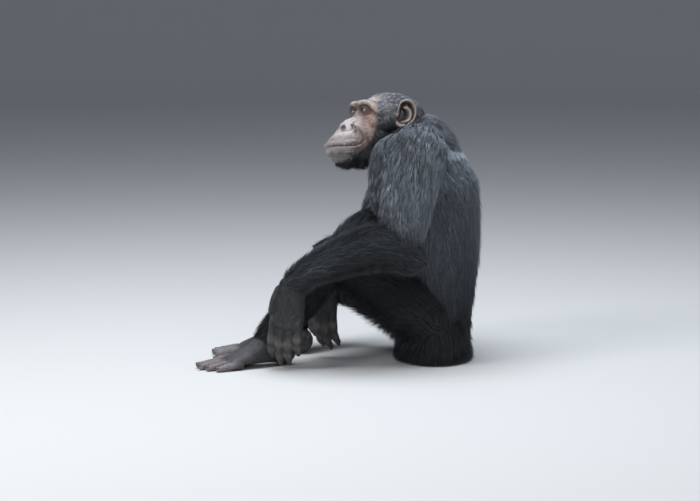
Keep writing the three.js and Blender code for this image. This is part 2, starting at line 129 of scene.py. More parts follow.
def unit(vectors):
    return vectors / np.maximum(np.linalg.norm(vectors, axis=-1, keepdims=True), 1e-12)


# Smooth curve through the points: between two of them, the cubic set by the four nearest
def curveAt(points, t):
    points = np.asarray(points, float)
    last = len(points) - 1
    place = np.clip(t, 0, 1) * last
    low = np.minimum(place.astype(int), last - 1)
    u = (place - low)[..., None]
    ends = [2 * points[:1] - points[1:2], points, 2 * points[-1:] - points[-2:-1]]
    p0, p1, p2, p3 = (np.concatenate(ends)[low + k] for k in range(4))
    cubic = (3 * p1 - p0 - 3 * p2 + p3) * u**3 + (2 * p0 - 5 * p1 + 4 * p2 - p3) * u**2
    return 0.5 * (2 * p1 + (p2 - p0) * u + cubic)


# Centre, way, two cross directions and half sizes of a limb at each t from 0 to 1
def limbFrame(limb, t):
    stations = np.asarray(limb["stations"], float)
    at = curveAt(stations, np.asarray(t, float))
    way = unit(curveAt(stations[:, :3], t + 0.004) - curveAt(stations[:, :3], t - 0.004))
    side = np.asarray(limb["across"], float)
    a = unit(side - way * (way @ side)[..., None])
    return at[..., :3], way, a, np.cross(a, way), at[..., 3:]


def limbLength(limb):
    centres = limbFrame(limb, np.linspace(0, 1, 60))[0]
    return np.linalg.norm(np.diff(centres, axis=0), axis=1).sum()


# A point on or over a limb: round the ellipse at t by the turn, pushed out by the height. Past
# either end the ellipse shrinks as a dome does
def onLimb(limb, t, turn, height):
    inside = np.clip(t, 0, 1)
    centre, way, a, b, half = limbFrame(limb, inside)
    half = half + np.asarray(height)[..., None]
    cap = half.min(-1) * limb["dome"]
    rise = np.clip((t - inside) * limb["length"] / cap, -1, 1)
    ring = np.sqrt(1 - rise**2)
    out = a * (np.cos(turn) * half[..., 0] * ring)[..., None]
    out = out + b * (np.sin(turn) * half[..., 1] * ring)[..., None]
    return centre + way * (rise * cap)[..., None] + out


# A limb from its stations: the way across it, and how far its ends bulge for their half width
def freeLimb(stations, across=(0, 1, 0), dome=1.0):
    made = {"stations": stations, "across": across, "dome": dome}
    made["length"] = limbLength(made)
    return made


limbs = {}
for name, stations in limbStations.items():
    kind = name.removesuffix("Left").removesuffix("Right")
    dome = trunkDome if name == "trunk" else 1.0
    limbs[name] = freeLimb(stations, limbAcross.get(kind, (0, 1, 0)), dome)
for name, side in sides.items():
    for kind, stations in shoulderStations.items():
        mirrored = [(x, y * side, *rest) for x, y, *rest in stations]
        limbs[kind + name.title()] = freeLimb(mirrored, limbAcross[kind])

# Mesh helpers


def gridFaces(rows, columns, wrap=True):
    i, j = np.meshgrid(np.arange(rows - 1), np.arange(columns if wrap else columns - 1), indexing="ij")
    k = (j + 1) % columns
    quads = [i * columns + j, i * columns + k, (i + 1) * columns + k, (i + 1) * columns + j]
    return np.stack(quads, -1).reshape(-1, 4)


# Object from arrays of points and of faces that all have the same number of corners
def makeObject(name, points, faces):
    mesh = bpy.data.meshes.new(name)
    corners = faces.shape[1]
    mesh.vertices.add(len(points))
    mesh.vertices.foreach_set("co", np.ascontiguousarray(points, np.float32).ravel())
    mesh.loops.add(faces.size)
    mesh.loops.foreach_set("vertex_index", np.ascontiguousarray(faces, np.int32).ravel())
    mesh.polygons.add(len(faces))
    mesh.polygons.foreach_set("loop_start", np.arange(0, faces.size, corners, dtype=np.int32))
    mesh.polygons.foreach_set("use_smooth", np.full(len(faces), True))
    mesh.update(calc_edges=True)
    made = bpy.data.objects.new(name, mesh)
    bpy.context.collection.objects.link(made)
    return made


def pointsOf(made):
    points = np.empty(len(made.data.vertices) * 3, np.float32)
    made.data.vertices.foreach_get("co", points)
    return points.reshape(-1, 3).astype(float)


def setPoints(made, points):
    made.data.vertices.foreach_set("co", np.ascontiguousarray(points, np.float32).ravel())
    made.data.update()


def normalsOf(made):
    normals = np.empty(len(made.data.vertices) * 3, np.float32)
    made.data.vertex_normals.foreach_get("vector", normals)
    return normals.reshape(-1, 3).astype(float)


def edgesOf(made):
    edges = np.empty(len(made.data.edges) * 2, np.int32)
    made.data.edges.foreach_get("vertices", edges)
    return edges.reshape(-1, 2)


# Each point moves towards the mean of its neighbours, then a little back, which smooths the
# surface and keeps its volume
def relax(points, edges, rounds):
    first, second = edges[:, 0], edges[:, 1]
    count = np.bincount(edges.ravel(), minlength=len(points))[:, None]
    for share in [0.55, -0.57] * rounds:
        total = np.stack([
            np.bincount(first, points[second, k], len(points))
            + np.bincount(second, points[first, k], len(points)) for k in range(3)], 1)
        points = points + share * (total / count - points)
    return points


# Surfaces given as (points, faces), put into one list of points and one of faces
def joined(surfaces):
    starts = np.cumsum([0] + [len(points) for points, _ in surfaces])
    points = np.concatenate([points for points, _ in surfaces])
    return points, np.concatenate([faces + start for (_, faces), start in zip(surfaces, starts)])


# Closed surfaces in one object, fused into one even skin
def fuse(name, surfaces, cell):
    rough = makeObject(name + "Rough", *joined(surfaces))
    remesh = rough.modifiers.new("fuse", "REMESH")
    remesh.mode = "VOXEL"
    remesh.voxel_size = cell
    graph = bpy.context.evaluated_depsgraph_get()
    mesh = bpy.data.meshes.new_from_object(rough.evaluated_get(graph))
    bpy.data.objects.remove(rough)
    mesh.name = name
    mesh.polygons.foreach_set("use_smooth", np.full(len(mesh.polygons), True))
    fused = bpy.data.objects.new(name, mesh)
    bpy.context.collection.objects.link(fused)
    return fused


def fullTurn(count):
    return np.linspace(0, 2 * np.pi, count, endpoint=False)


# A limb as a closed tube with domed ends: rows along it, points round it, all as onLimb says
def tube(limb, height, rows=40, around=32):
    lean = np.sin(np.linspace(-0.5, 0.5, 7) * np.pi * 0.98)
    half = limbFrame(limb, np.array([0.0, 1.0]))[4].min(-1) + height
    ends = half * limb["dome"] / limb["length"]
    t = np.concatenate([lean[:3] * ends[0], np.linspace(0, 1, rows), 1 + lean[4:] * ends[1]])
    t, turn = np.meshgrid(t, fullTurn(around), indexing="ij")
    points = onLimb(limb, t, turn, np.full(t.shape, float(height)))
    return closeEnds(points)


# A grid of rings closed at both ends by a point at the middle of the end ring
def closeEnds(rings):
    rows, columns = rings.shape[:2]
    first, last = rings[:1].mean(1, keepdims=True), rings[-1:].mean(1, keepdims=True)
    shut = [np.repeat(first, columns, 1), rings, np.repeat(last, columns, 1)]
    return np.concatenate(shut).reshape(-1, 3), gridFaces(rows + 2, columns)


# An ellipsoid as rings from pole to pole
def lump(at, radii, rows=24, around=36):
    polar, turn = np.meshgrid(np.linspace(0.02, np.pi - 0.02, rows), fullTurn(around), indexing="ij")
    ball = np.stack([np.sin(polar) * np.cos(turn), np.sin(polar) * np.sin(turn), np.cos(polar)], -1)
    return closeEnds(ball * np.asarray(radii, float) + np.asarray(at, float))


def dress(made, material, slot, *nodes):
    made.data.materials.clear()
    made.data.materials.append(material)
    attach(made, "root")
    if nodes:
        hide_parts(*nodes)
    return made


def setColour(made, name, colours):
    rgba = np.ones((len(made.data.vertices), 4), np.float32)
    rgba[:, :3] = colours
    layer = made.data.color_attributes.new(name, "FLOAT_COLOR", "POINT")
    layer.data.foreach_set("color", rgba.ravel())


# Materials


class Nodes:
    def __init__(self, name):
        self.material = bpy.data.materials.new(name)
        self.material.use_nodes = True
        self.tree = self.material.node_tree
        self.shader = self.tree.nodes["Principled BSDF"]

    def add(self, kind, **settings):
        node = self.tree.nodes.new("ShaderNode" + kind)
        for key, value in settings.items():
            if hasattr(node, key):
                setattr(node, key, value)
            else:
                node.inputs[key].default_value = value
        return node

    def link(self, start, end):
        self.tree.links.new(start, end)

    def set(self, **values):
        for key, value in values.items():
            self.shader.inputs[key.replace("_", " ")].default_value = value


def ramp(nodes, source, stops):
    made = nodes.add("ValToRGB")
    nodes.link(source, made.inputs["Fac"])
    elements = made.color_ramp.elements
    while len(elements) < len(stops):
        elements.new(0.5)
    for element, (place, colour) in zip(elements, stops):
        element.position = place
        element.color = (*colour, 1.0)
    return made


def noise(nodes, place, scale, detail=4.0, roughness=0.55):
    made = nodes.add("TexNoise", Scale=scale, Detail=detail, Roughness=roughness)
    nodes.link(place, made.inputs["Vector"])
    return made


# Noise as a colour that goes from one to another between two of its values
def mottled(nodes, place, scale, stops):
    return ramp(nodes, noise(nodes, place, scale).outputs["Fac"], stops).outputs["Color"]


def mixed(nodes, kind, share, first, second):
    made = nodes.add("MixRGB", blend_type=kind, Fac=share)
    nodes.link(first, made.inputs["Color1"])
    nodes.link(second, made.inputs["Color2"])
    return made.outputs["Color"]


def baseColour(nodes, colour, patches):
    nodes.link(mixed(nodes, "MULTIPLY", 1.0, colour, patches), nodes.shader.inputs["Base Color"])


# Bare skin: its scales are those of the patches, the bends of the creases, the pores and the gloss
skinLook = {
    "patches": (140.0, [(0.3, (0.72, 0.7, 0.7)), (0.7, (1.2, 1.17, 1.15))]),
    "warp": (60.0, 0.02),
    "crease": 0.14,
    "pores": (900.0, 0.45),
    "bump": 0.6,
    "gloss": (300.0, -0.08, 0.1),
}


# The tint painted on the skin, mottled, with pores and fine creases as bump
def skinMaterial(name, creaseScale, bumpDepth, roughness):
    nodes = Nodes(name)
    place = nodes.add("TexCoord").outputs["Object"]
    tint = nodes.add("Attribute", attribute_name="tint").outputs["Color"]
    baseColour(nodes, tint, mottled(nodes, place, *skinLook["patches"]))
    creases = nodes.add("TexVoronoi", feature="DISTANCE_TO_EDGE", Scale=creaseScale)
    warp = noise(nodes, place, skinLook["warp"][0]).outputs["Color"]
    nodes.link(mixed(nodes, "LINEAR_LIGHT", skinLook["warp"][1], place, warp), creases.inputs["Vector"])
    stops = [(0.0, (0, 0, 0)), (skinLook["crease"], (1, 1, 1))]
    lines = ramp(nodes, creases.outputs["Distance"], stops).outputs["Color"]
    pores = noise(nodes, place, skinLook["pores"][0], 3.0).outputs["Fac"]
    bump = nodes.add("Bump", Strength=skinLook["bump"], Distance=bumpDepth)
    nodes.link(mixed(nodes, "MIX", skinLook["pores"][1], lines, pores), bump.inputs["Height"])
    nodes.link(bump.outputs["Normal"], nodes.shader.inputs["Normal"])
    scale, low, high = skinLook["gloss"]
    stops = [(0.3, (roughness + low,) * 3), (0.7, (roughness + high,) * 3)]
    nodes.link(mottled(nodes, place, scale, stops), nodes.shader.inputs["Roughness"])
    return nodes.material


hairLook = {
    "patches": (420.0, [(0.3, (0.6, 0.6, 0.6)), (0.72, (1.3, 1.3, 1.3))]),
    "roughness": 0.48,
    "sheen": 0.12,
    "sheenTint": (0.82, 0.9, 1.0, 1.0),
    "gloss": 0.25,
}


# Hair: the tint carried by each tuft, darker at its root, broken up by small patches
def coatMaterial(name):
    nodes = Nodes(name)
    tint = nodes.add("Attribute", attribute_name="tint").outputs["Color"]
    place = nodes.add("TexCoord").outputs["Object"]
    baseColour(nodes, tint, mottled(nodes, place, *hairLook["patches"]))
    nodes.set(Roughness=hairLook["roughness"], Sheen_Weight=hairLook["sheen"], Sheen_Roughness=0.5)
    nodes.set(Specular_IOR_Level=hairLook["gloss"], Sheen_Tint=hairLook["sheenTint"])
    return nodes.material


faceSkin = skinMaterial("faceSkin", 420.0, 0.0011, 0.46)
handSkin = skinMaterial("handSkin", 330.0, 0.0013, 0.5)
blackHair = coatMaterial("blackHair")
print("materials made")

# Skin under the coat

underSkin = {"cell": 0.006, "rounds": 6, "floor": 0.0012, "ruffDepth": 2, "tint": (0.012, 0.011, 0.011)}


def makeUnderSkin():
    deep = {name: underSkin["ruffDepth"] if name.startswith("ruff") else 1 for name in limbs}
    surfaces = [tube(limb, -skinDepth * deep[name]) for name, limb in limbs.items()]
    made = fuse("underSkin", [(points * mm, faces) for points, faces in surfaces], underSkin["cell"])
    points = relax(pointsOf(made), edgesOf(made), underSkin["rounds"])
    points[:, 2] = np.maximum(points[:, 2], underSkin["floor"])
    setPoints(made, points)
    setColour(made, "tint", underSkin["tint"])
    flesh = ["rump", "belly", "chest", "neck"]
    for part in ("upper_arm", "forearm", "thigh", "shin"):
        flesh += [part + "_" + name for name in sides]
    return dress(made, handSkin, "coat", *flesh)


makeUnderSkin()
print("under skin made")

# Head: its own frame has x forwards, y to its left and z up from between the ear holes

headPlace = {"at": (-121, 0, 563), "turn": 210, "pitch": -5, "roll": 9}


def turnAbout(axis, degrees):
    c, s = np.cos(np.radians(degrees)), np.sin(np.radians(degrees))
    i, j = [(1, 2), (2, 0), (0, 1)][axis]
    matrix = np.eye(3)
    matrix[i, i] = matrix[j, j] = c
    matrix[i, j], matrix[j, i] = -s, s
    return matrix


roll, pitch, turn = (turnAbout(k, headPlace[name]) for k, name in enumerate(("roll", "pitch", "turn")))
headTurn = turn @ pitch @ roll


def fromHead(points):
    return (points @ headTurn.T + np.array(headPlace["at"])) * mm


# Stations given from the left side to the middle, carried on to the right side
def bothHalves(half):
    half = np.asarray(half, float)
    return np.concatenate([half, (half[:-1] * (1, -1, 1, 1, 1))[::-1]])


headForm = {
    "cell": 1.35,
    "rounds": 9,
    "eye": (75.5, 27, 14),
    "eyeRadius": 11.5,
    "muzzle": [(52, 0, -38, 54, 50), (88, 0, -50, 46, 49), (112, 0, -61, 41, 43), (130, 0, -69, 37, 31)],
    "jaw": [(4, 0, -40, 53, 39), (44, 0, -62, 49, 34), (86, 0, -80, 39, 25)],
    "brow": [(58, 54, 10, 8, 8), (69, 46, 22, 10, 9), (78, 27, 31, 9, 9.5), (81, 0, 30, 9, 9)],
    "lips": [
        (92, 38, -55, 3, 3), (112, 37, -64, 5, 5), (130, 35, -68, 6, 6), (150, 24, -69.5, 6.5, 6),
        (158, 0, -70, 6.5, 6)],
    "upperLip": (-2, 0, 5, 0, 0),
    "lowerLip": (-3, 0, -8, 0, 0),
    "skull": ((-4, 0, 8), (83, 61, 53), 40, 60),
    "face": ((44, 0, -4), (47, 58, 45), 30, 48),
    "nose": ((104, 0, -18), (20, 15, 12)),
    "noseTip": ((113, 0, -22), (11, 12, 9)),
    "chin": ((123, 0, -88), (28, 28, 20)),
    "cheek": ((58, 40, -12), (22, 17, 22)),
    "wing": ((109, 14, -26), (10, 9, 8)),
}


# The lumps have their middle and half sizes. The lips are one row of stations, moved up and down
def makeHead():
    form = headForm
    lips = bothHalves(form["lips"])
    rows = [bothHalves(form["brow"]), lips + form["upperLip"], lips + form["lowerLip"]]
    tubes = [freeLimb(form["muzzle"]), freeLimb(form["jaw"]), *(freeLimb(row, (0, 0, 1)) for row in rows)]
    surfaces = [tube(limb, 0, 30, 30) for limb in tubes]
    surfaces += [lump(*form[name]) for name in ("skull", "face", "nose", "noseTip", "chin")]
    for side in sides.values():
        for at, radii in (form["cheek"], form["wing"]):
            surfaces.append(lump(at * np.array([1, side, 1]), radii))
    return fuse("head", surfaces, form["cell"])


head = makeHead()
headPoints = relax(pointsOf(head), edgesOf(head), headForm["rounds"])
setPoints(head, headPoints)
print("head fused", len(head.data.polygons) * 2)


# How near each point lies to a line of points, as 1 on it and falling off over the width
def near(points, line, width):
    line = np.asarray(line, float)
    best = np.full(len(points), np.inf)
    for start, way in zip(line[:-1], np.diff(line, axis=0)):
        share = np.clip((points - start) @ way / (way @ way), 0, 1)
        best = np.minimum(best, np.linalg.norm(points - start - share[:, None] * way, axis=1))
    return np.exp(-((best / width) ** 2))


# The line on both halves of the face, as its points are all on the left one
def bothSides(points, line, width):
    mirrored = points * np.array([1, -1, 1])
    return np.maximum(near(points, line, width), near(mirrored, line, width))


# The points of a line, each moved to the nearest point of the head's surface, with two more
# between each pair, so that the line keeps to the surface
def onHead(line):
    line = np.asarray(line, float)
    fine = curveAt(line, np.linspace(0, 1, 3 * len(line) - 2))
    gap = np.linalg.norm(headPoints[None] - fine[:, None], axis=2)
    return headPoints[gap.argmin(1)]


# Folds of the face as lines in the head's frame, with their width and how far they stand out
foldLines = {
    "browRim": ([(64, 52, 14), (76, 43, 30), (84, 27, 37), (87, 12, 37), (87, 0, 36)], 5.0, 0.8),
    "glabella": ([(90, 0, 30), (91, 0, 20)], 6.0, -1.8),
    "frown": ([(88, 9, 36), (92, 6, 22)], 1.8, -1.0),
    "underBrow": ([(66, 50, 6), (76, 42, 20), (86, 28, 25), (89, 14, 23)], 3.6, -1.6),
    "innerCorner": ([(88, 14, 15), (92, 11, 8)], 3.2, -2.2),
    "bridge": ([(93, 0, 16), (104, 0, -2), (114, 0, -10)], 4.6, 1.6),
    "bridgeSide": ([(97, 9, 6), (108, 13, -8)], 3.0, -1.0),
    "eyeBag": ([(90, 13, 7), (88, 19, 3), (84, 29, 0), (76, 40, 3), (68, 48, 8)], 1.5, -1.5),
    "eyeBagTwo": ([(96, 14, -1), (92, 22, -5), (86, 33, -7), (76, 44, -4), (68, 51, 2)], 1.6, -1.3),
    "eyeBagThree": ([(100, 17, -8), (96, 25, -12), (88, 38, -14), (76, 49, -10)], 1.8, -1.1),
    "eyeBagFour": ([(103, 22, -15), (97, 31, -20), (88, 43, -21)], 1.9, -0.9),
    "crow": ([(66, 48, 12), (60, 56, 16)], 1.5, -0.8),
    "crowTwo": ([(66, 50, 8), (58, 58, 8)], 1.5, -0.8),
    "cheekFold": ([(107, 35, -26), (101, 41, -38), (95, 44, -47), (93, 44, -57)], 2.4, -2.4),
    "cheekRise": ([(99, 38, -26), (93, 45, -38), (87, 48, -48)], 4.5, 1.5),
    "cheekFoldTwo": ([(88, 49, -40), (84, 49, -52), (82, 48, -62)], 2.2, -1.1),
    "wing": ([(108, 23, -10), (113, 30, -20), (115, 32, -30), (121, 27, -37), (130, 16, -38)], 2.1, -2.2),
    "wingPit": ([(116, 29, -20), (111, 36, -30), (111, 37, -38)], 3.2, -2.8),
    "wingRise": ([(123, 8, -17), (117, 19, -18), (118, 26, -28)], 4.2, 2.0),
    "noseTip": ([(129, 0, -24), (126, 0, -19)], 4.5, 1.4),
    "septum": ([(133, 0, -28), (138, 0, -38)], 1.8, -1.2),
    "upperLip": ([(114, 38, -60), (134, 35, -64), (150, 23, -65), (158, 0, -65)], 3.6, 1.2),
    "lowerLip": ([(112, 37, -71), (130, 35, -75), (148, 23, -76), (157, 0, -77)], 3.6, 1.4),
    "chinCrease": ([(122, 33, -86), (138, 22, -88), (149, 0, -89)], 2.8, -1.2),
    "mouthCorner": ([(98, 43, -62), (94, 44, -68), (91, 45, -75)], 3.0, -2.4),
}
folds = {name: (onHead(line), width, rise) for name, (line, width, rise) in foldLines.items()}
lipLine = onHead([
    (95, 42, -61), (103, 41, -66), (116, 39, -70), (132, 37, -71), (146, 28, -71), (155, 15, -70.5),
    (159, 0, -70)])
nostril = onHead([(132, 9, -24), (130, 12, -28), (128, 13, -32)])
nostrilRim = onHead([(130, 5, -23), (126, 15, -24), (124, 18, -30), (129, 12, -34)])
# The mouth, the rim of the nostril and the nostril: line, width and how far each stands out
openings = [(lipLine, 1.5, -4.2), (nostrilRim, 2.0, 1.1), (nostril, 3.8, -13.0)]
lipStarts = [(112, 40), (122, 38), (132, 35), (140, 31), (147, 25), (152, 18), (156, 10)]
socket = {"half": (13.5, 9.0), "rim": 0.22, "front": 6, "back": 4}  # front and back of the eye's middle


# Lines across the upper lip, across the forehead and down the lower lip
def wrinkles():
    made = [(onHead([(x - 10, y * 1.02, -46), (x - 2, y, -63)]), 1.1, -0.5) for x, y in lipStarts]
    made += [(onHead([(x - 3, y, -74), (x - 8, y, -88)]), 1.2, -0.5) for x, y in lipStarts]
    for z in (41, 45, 49):
        made.append((onHead([(66, 34, z - 3), (74, 18, z), (76, 0, z)]), 1.5, -0.55))
    return made


def carve(points, normals):
    push = np.zeros(len(points))
    for line, width, rise in [*folds.values(), *wrinkles(), *openings]:
        push += rise * bothSides(points, line, width)
    return openSockets(points + normals * push[:, None])


# The socket: inside an almond seen from in front, the skin drops back behind the eyeball
def openSockets(points):
    x, y, z = headForm["eye"]
    wide, high = socket["half"]
    for side in sides.values():
        spread = np.hypot((points[:, 1] - y * side) / wide, (points[:, 2] - z) / high)
        share = np.clip((1.0 - spread) / socket["rim"], 0, 1) * (points[:, 0] > x - socket["front"])
        points[:, 0] += share * (np.minimum(points[:, 0], x - socket["back"]) - points[:, 0])
    return points


headPoints = carve(headPoints, normalsOf(head))
headPoints = relax(headPoints, edgesOf(head), 1)
setPoints(head, headPoints)
print("face carved")

# Colours of the bare skin, mixed over the head by where each point lies

faceTints = {
    "base": (0.235, 0.163, 0.142),
    "muzzle": (0.4, 0.37, 0.368),
    "lip": (0.2, 0.168, 0.168),
    "rim": (0.36, 0.29, 0.28),
    "forehead": (0.43, 0.405, 0.395),
    # brow: the tan of the brow ridge, partly a painted highlight along its top
    "brow": (0.42, 0.355, 0.305),
    "bag": (0.31, 0.18, 0.155),
    # socket: dark brown, partly the darker skin round the eyes and partly painted shade under the brow and in
    # the creases
    "socket": (0.06, 0.036, 0.027),
    # dark: near black, painted shade in the gap of the mouth, in the nostrils and where the lids meet the
    # eyes
    "dark": (0.006, 0.004, 0.004),
    "chin": (0.2, 0.162, 0.15),
    "scalp": (0.13, 0.13, 0.14),
    "throat": (0.02, 0.019, 0.02),
}

# Raised folds, which get no line of painted shade along them
paleFolds = ("bridge", "wingRise", "noseTip", "upperLip", "lowerLip", "cheekRise", "browRim")

# Where the hair begins: at each height of the head, how far forwards it reaches
hairEdge = {
    "z": (-106, -98, -90, -80, -70, -49, -26, -5, 20, 34, 46, 60),
    "x": (142, 130, 112, 98, 87, 75, 66, 66, 66, 60, 50, 46),
}


def blend(colours, target, share):
    return colours + (np.asarray(target) - colours) * np.clip(share, 0, 1)[:, None]


def step(values, low, high):
    share = np.clip((values - low) / (high - low), 0, 1)
    return share * share * (3 - 2 * share)


# How far each point of the head is covered with hair: behind the brow and under the jaw
def hairShare(points):
    x, y, z = points.T
    return step(np.interp(z, hairEdge["z"], hairEdge["x"]) - x, -4, 8 + 20 * step(z, 28, 42))


# Each layer of colour covers what is under it by its share
def faceColours(points):
    x, y, z = points.T
    mottle = 0.5 + 0.5 * np.sin(x * 0.31 + 2 * np.sin(z * 0.23)) * np.sin(y * 0.27 + z * 0.19)

    def along(name, strength, width):
        return strength * bothSides(points, folds[name][0], width)

    layers = [
        ("muzzle", step(x + 0.35 * z, 82, 100) * step(46 - np.abs(y), 0, 14)),
        ("lip", 0.95 * step(-z, 38, 54) * step(x, 92, 110) * (0.75 + 0.25 * mottle)),
        ("forehead", step(z, 30, 42)),
        # The brow ridge's tan, partly a painted highlight along its top
        ("brow", along("browRim", 0.8, 7.0)),
        ("chin", 0.85 * step(-z, 76, 84) * step(x, 92, 116)),
    ]
    layers += [("bag", along(name, 0.5, 5.0) * mottle) for name in ("eyeBag", "eyeBagTwo", "eyeBagThree")]
    # Painted shade over some darker skin round the eyes: the socket tint under the brow, between the eyes,
    # along every sunken fold, behind the nose's wings and in the cheek folds
    eye = np.array(headForm["eye"])
    hollow = [eye + (6, 10, 6), eye + (8, 0, 9), eye + (10, -12, 5)]
    layers.append(("socket", 1.2 * bothSides(points, hollow, 11.0)))
    layers.append(("socket", 0.6 * near(points, [(90, 0, 24), (93, 0, 14)], 10.0)))
    layers += [("socket", along(name, 0.55, folds[name][1] * 0.9)) for name in folds if name not in paleFolds]
    layers += [
        ("socket", 0.7 * bothSides(points, folds["wing"][0][:6], 3.6)),
        ("socket", along("cheekFold", 0.45, 6.5)),
        ("socket", along("wingPit", 1.25, 4.6)),
        ("rim", 0.75 * bothSides(points, lipLine, 4.5)),
        # Painted shade: near black along the gap of the mouth and in the nostrils
        ("dark", 1.3 * bothSides(points, lipLine, 1.9)),
        ("dark", 2.0 * bothSides(points, nostril, 5.6)),
    ]
    colours = np.tile(np.asarray(faceTints["base"]), (len(points), 1))
    for name, share in layers:
        colours = blend(colours, faceTints[name], share)
    scalp = np.where((z > 0)[:, None], faceTints["scalp"], faceTints["throat"])
    return blend(colours, scalp, hairShare(points))


setColour(head, "tint", faceColours(headPoints))
setPoints(head, fromHead(headPoints))
dress(head, faceSkin, "skin", "head")
print("head dressed")

# Eyes: a black pupil, a brown iris with a dark edge and a dim white, by the angle from the gaze

eyes = {
    "radius": 11.4,
    "gaze": (1.0, 0.12, -0.08),
    "bulge": 0.9,
    "stops": [
        (0.0, (0.002, 0.002, 0.002)), (0.2, (0.002, 0.002, 0.002)), (0.235, (0.1, 0.055, 0.028)),
        (0.42, (0.21, 0.125, 0.07)), (0.5, (0.03, 0.018, 0.012)), (0.56, (0.07, 0.053, 0.044)),
        (1.0, (0.14, 0.112, 0.094))],
    "flecks": (1600.0, [(0.3, (0.6, 0.6, 0.6)), (0.7, (1.3, 1.3, 1.3))]),
}


def eyeMaterial():
    nodes = Nodes("eyeBall")
    ring = nodes.add("Attribute", attribute_name="ring")
    parts = nodes.add("SeparateColor")
    nodes.link(ring.outputs["Color"], parts.inputs["Color"])
    colour = ramp(nodes, parts.outputs["Red"], eyes["stops"]).outputs["Color"]
    place = nodes.add("TexCoord").outputs["Object"]
    baseColour(nodes, colour, mottled(nodes, place, *eyes["flecks"]))
    nodes.set(Roughness=0.12, Coat_Weight=1.0, Coat_Roughness=0.03)
    return nodes.material


eyeBall = eyeMaterial()


# A ball round its gaze: rings by the angle from the gaze, pushed out a little over the iris
def makeEye(name, side):
    rows, around = 60, 64
    angle, turn = np.meshgrid(np.linspace(0.001, np.pi - 0.001, rows), fullTurn(around), indexing="ij")
    radius = eyes["radius"] + eyes["bulge"] * np.exp(-((angle / 0.42) ** 4))
    gaze = unit(np.array(eyes["gaze"]) * (1, side, 1))
    flat = unit(np.cross((0, 0, 1), gaze))
    up = np.cross(gaze, flat)
    rings = np.cos(angle)[..., None] * gaze
    rings = rings + np.sin(angle)[..., None] * (np.cos(turn)[..., None] * flat + np.sin(turn)[..., None] * up)
    points, faces = closeEnds(rings * radius[..., None] + np.array(headForm["eye"]) * (1, side, 1))
    made = makeObject("eye" + name.title(), fromHead(points), faces)
    share = np.concatenate([np.zeros(around), angle.ravel(), np.full(around, np.pi)])
    setColour(made, "ring", np.repeat(np.clip(share, 0, 1)[:, None], 3, 1))
    return dress(made, eyeBall, "eye", "eye_" + name)


# Lids: rings from inside the margin, over its edge, round the ball and out onto the face. The
# margin is an almond on the ball, and the outer ring lies just under the skin nearest to it
lids = {
    "wide": 11.4,
    "over": 4.4,
    "under": 4.6,
    "slant": -0.06,
    "outer": (18.0, 13.0),
    "clear": 0.5,  # of the ball
    "edge": 1.5,
    "rounds": (1.0, 1.12, 1.28, 1.45),  # the rings on the lid, as shares of the margin
    "folds": (0.6, -0.9, 0.5, 0.8, 0.4, 0.1, -0.3, 0.0),  # of the rings from the lid to the face
}


def makeLids(name, side):
    around = 96
    turn = fullTurn(around)
    eye = np.array(headForm["eye"]) * (1, side, 1)
    rise = np.where(np.sin(turn) > 0, lids["over"], lids["under"]) * np.sin(turn)
    wide = lids["wide"] * np.sign(np.cos(turn)) * np.abs(np.cos(turn)) ** 0.8

    def onBall(y, z, radius):
        x = np.sqrt(np.maximum(radius**2 - y**2 - z**2, 4.0))
        return np.stack([x, y * side, z + lids["slant"] * y], -1) + eye

    ball = headForm["eyeRadius"] + lids["clear"]
    across, up = lids["outer"]
    wanted = np.stack([across * np.cos(turn) * side + eye[1], up * np.sin(turn) + eye[2]], -1)
    front = headPoints[headPoints[:, 0] > eye[0] - 14]
    gap = np.linalg.norm(front[None, :, 1:] - wanted[:, None], axis=2)
    nearest = np.argsort(gap, 1)[:, :6]
    outer = np.concatenate([front[nearest][..., :1].mean(1) - 1.2, wanted], 1)
    rings = [onBall(wide * 1.02, rise * 1.1, ball - 0.4), onBall(wide, rise, ball + 0.2)]
    rings += [onBall(wide * (1 + 0.03 * k), rise * k, ball + lids["edge"]) for k in lids["rounds"]]
    last = rings[-1]
    for share, fold in zip(np.linspace(0, 1, 9)[1:], lids["folds"]):
        rings.append(last + (outer - last) * share + np.array([1, 0, 0]) * fold)
    points = np.array(rings)
    faces = gridFaces(len(points), around)
    if side < 0:
        faces = faces[:, ::-1]
    made = makeObject("lids" + name.title(), fromHead(points.reshape(-1, 3)), faces)
    flat = points.reshape(-1, 3)
    # Painted shade round the eye over the lids' own dark margin: the lids take half the socket tint, and the
    # four rings at and inside the margin take the near-black dark tint
    colours = blend(faceColours(flat), faceTints["socket"], np.full(len(flat), 0.5))
    colours[: around * 4] = np.array(faceTints["dark"]) * 1.6
    setColour(made, "tint", colours)
    finish = made.modifiers.new("smooth", "SUBSURF")
    finish.levels = finish.render_levels = 1
    return dress(made, faceSkin, "skin")


for name, side in sides.items():
    makeEye(name, side)
    makeLids(name, side)
print("eyes and lids made")

# Ears: a cup drawn as a plan of its folds, in millimetres backwards and up from its middle, each
# a line with its width and how far it stands out of the cup

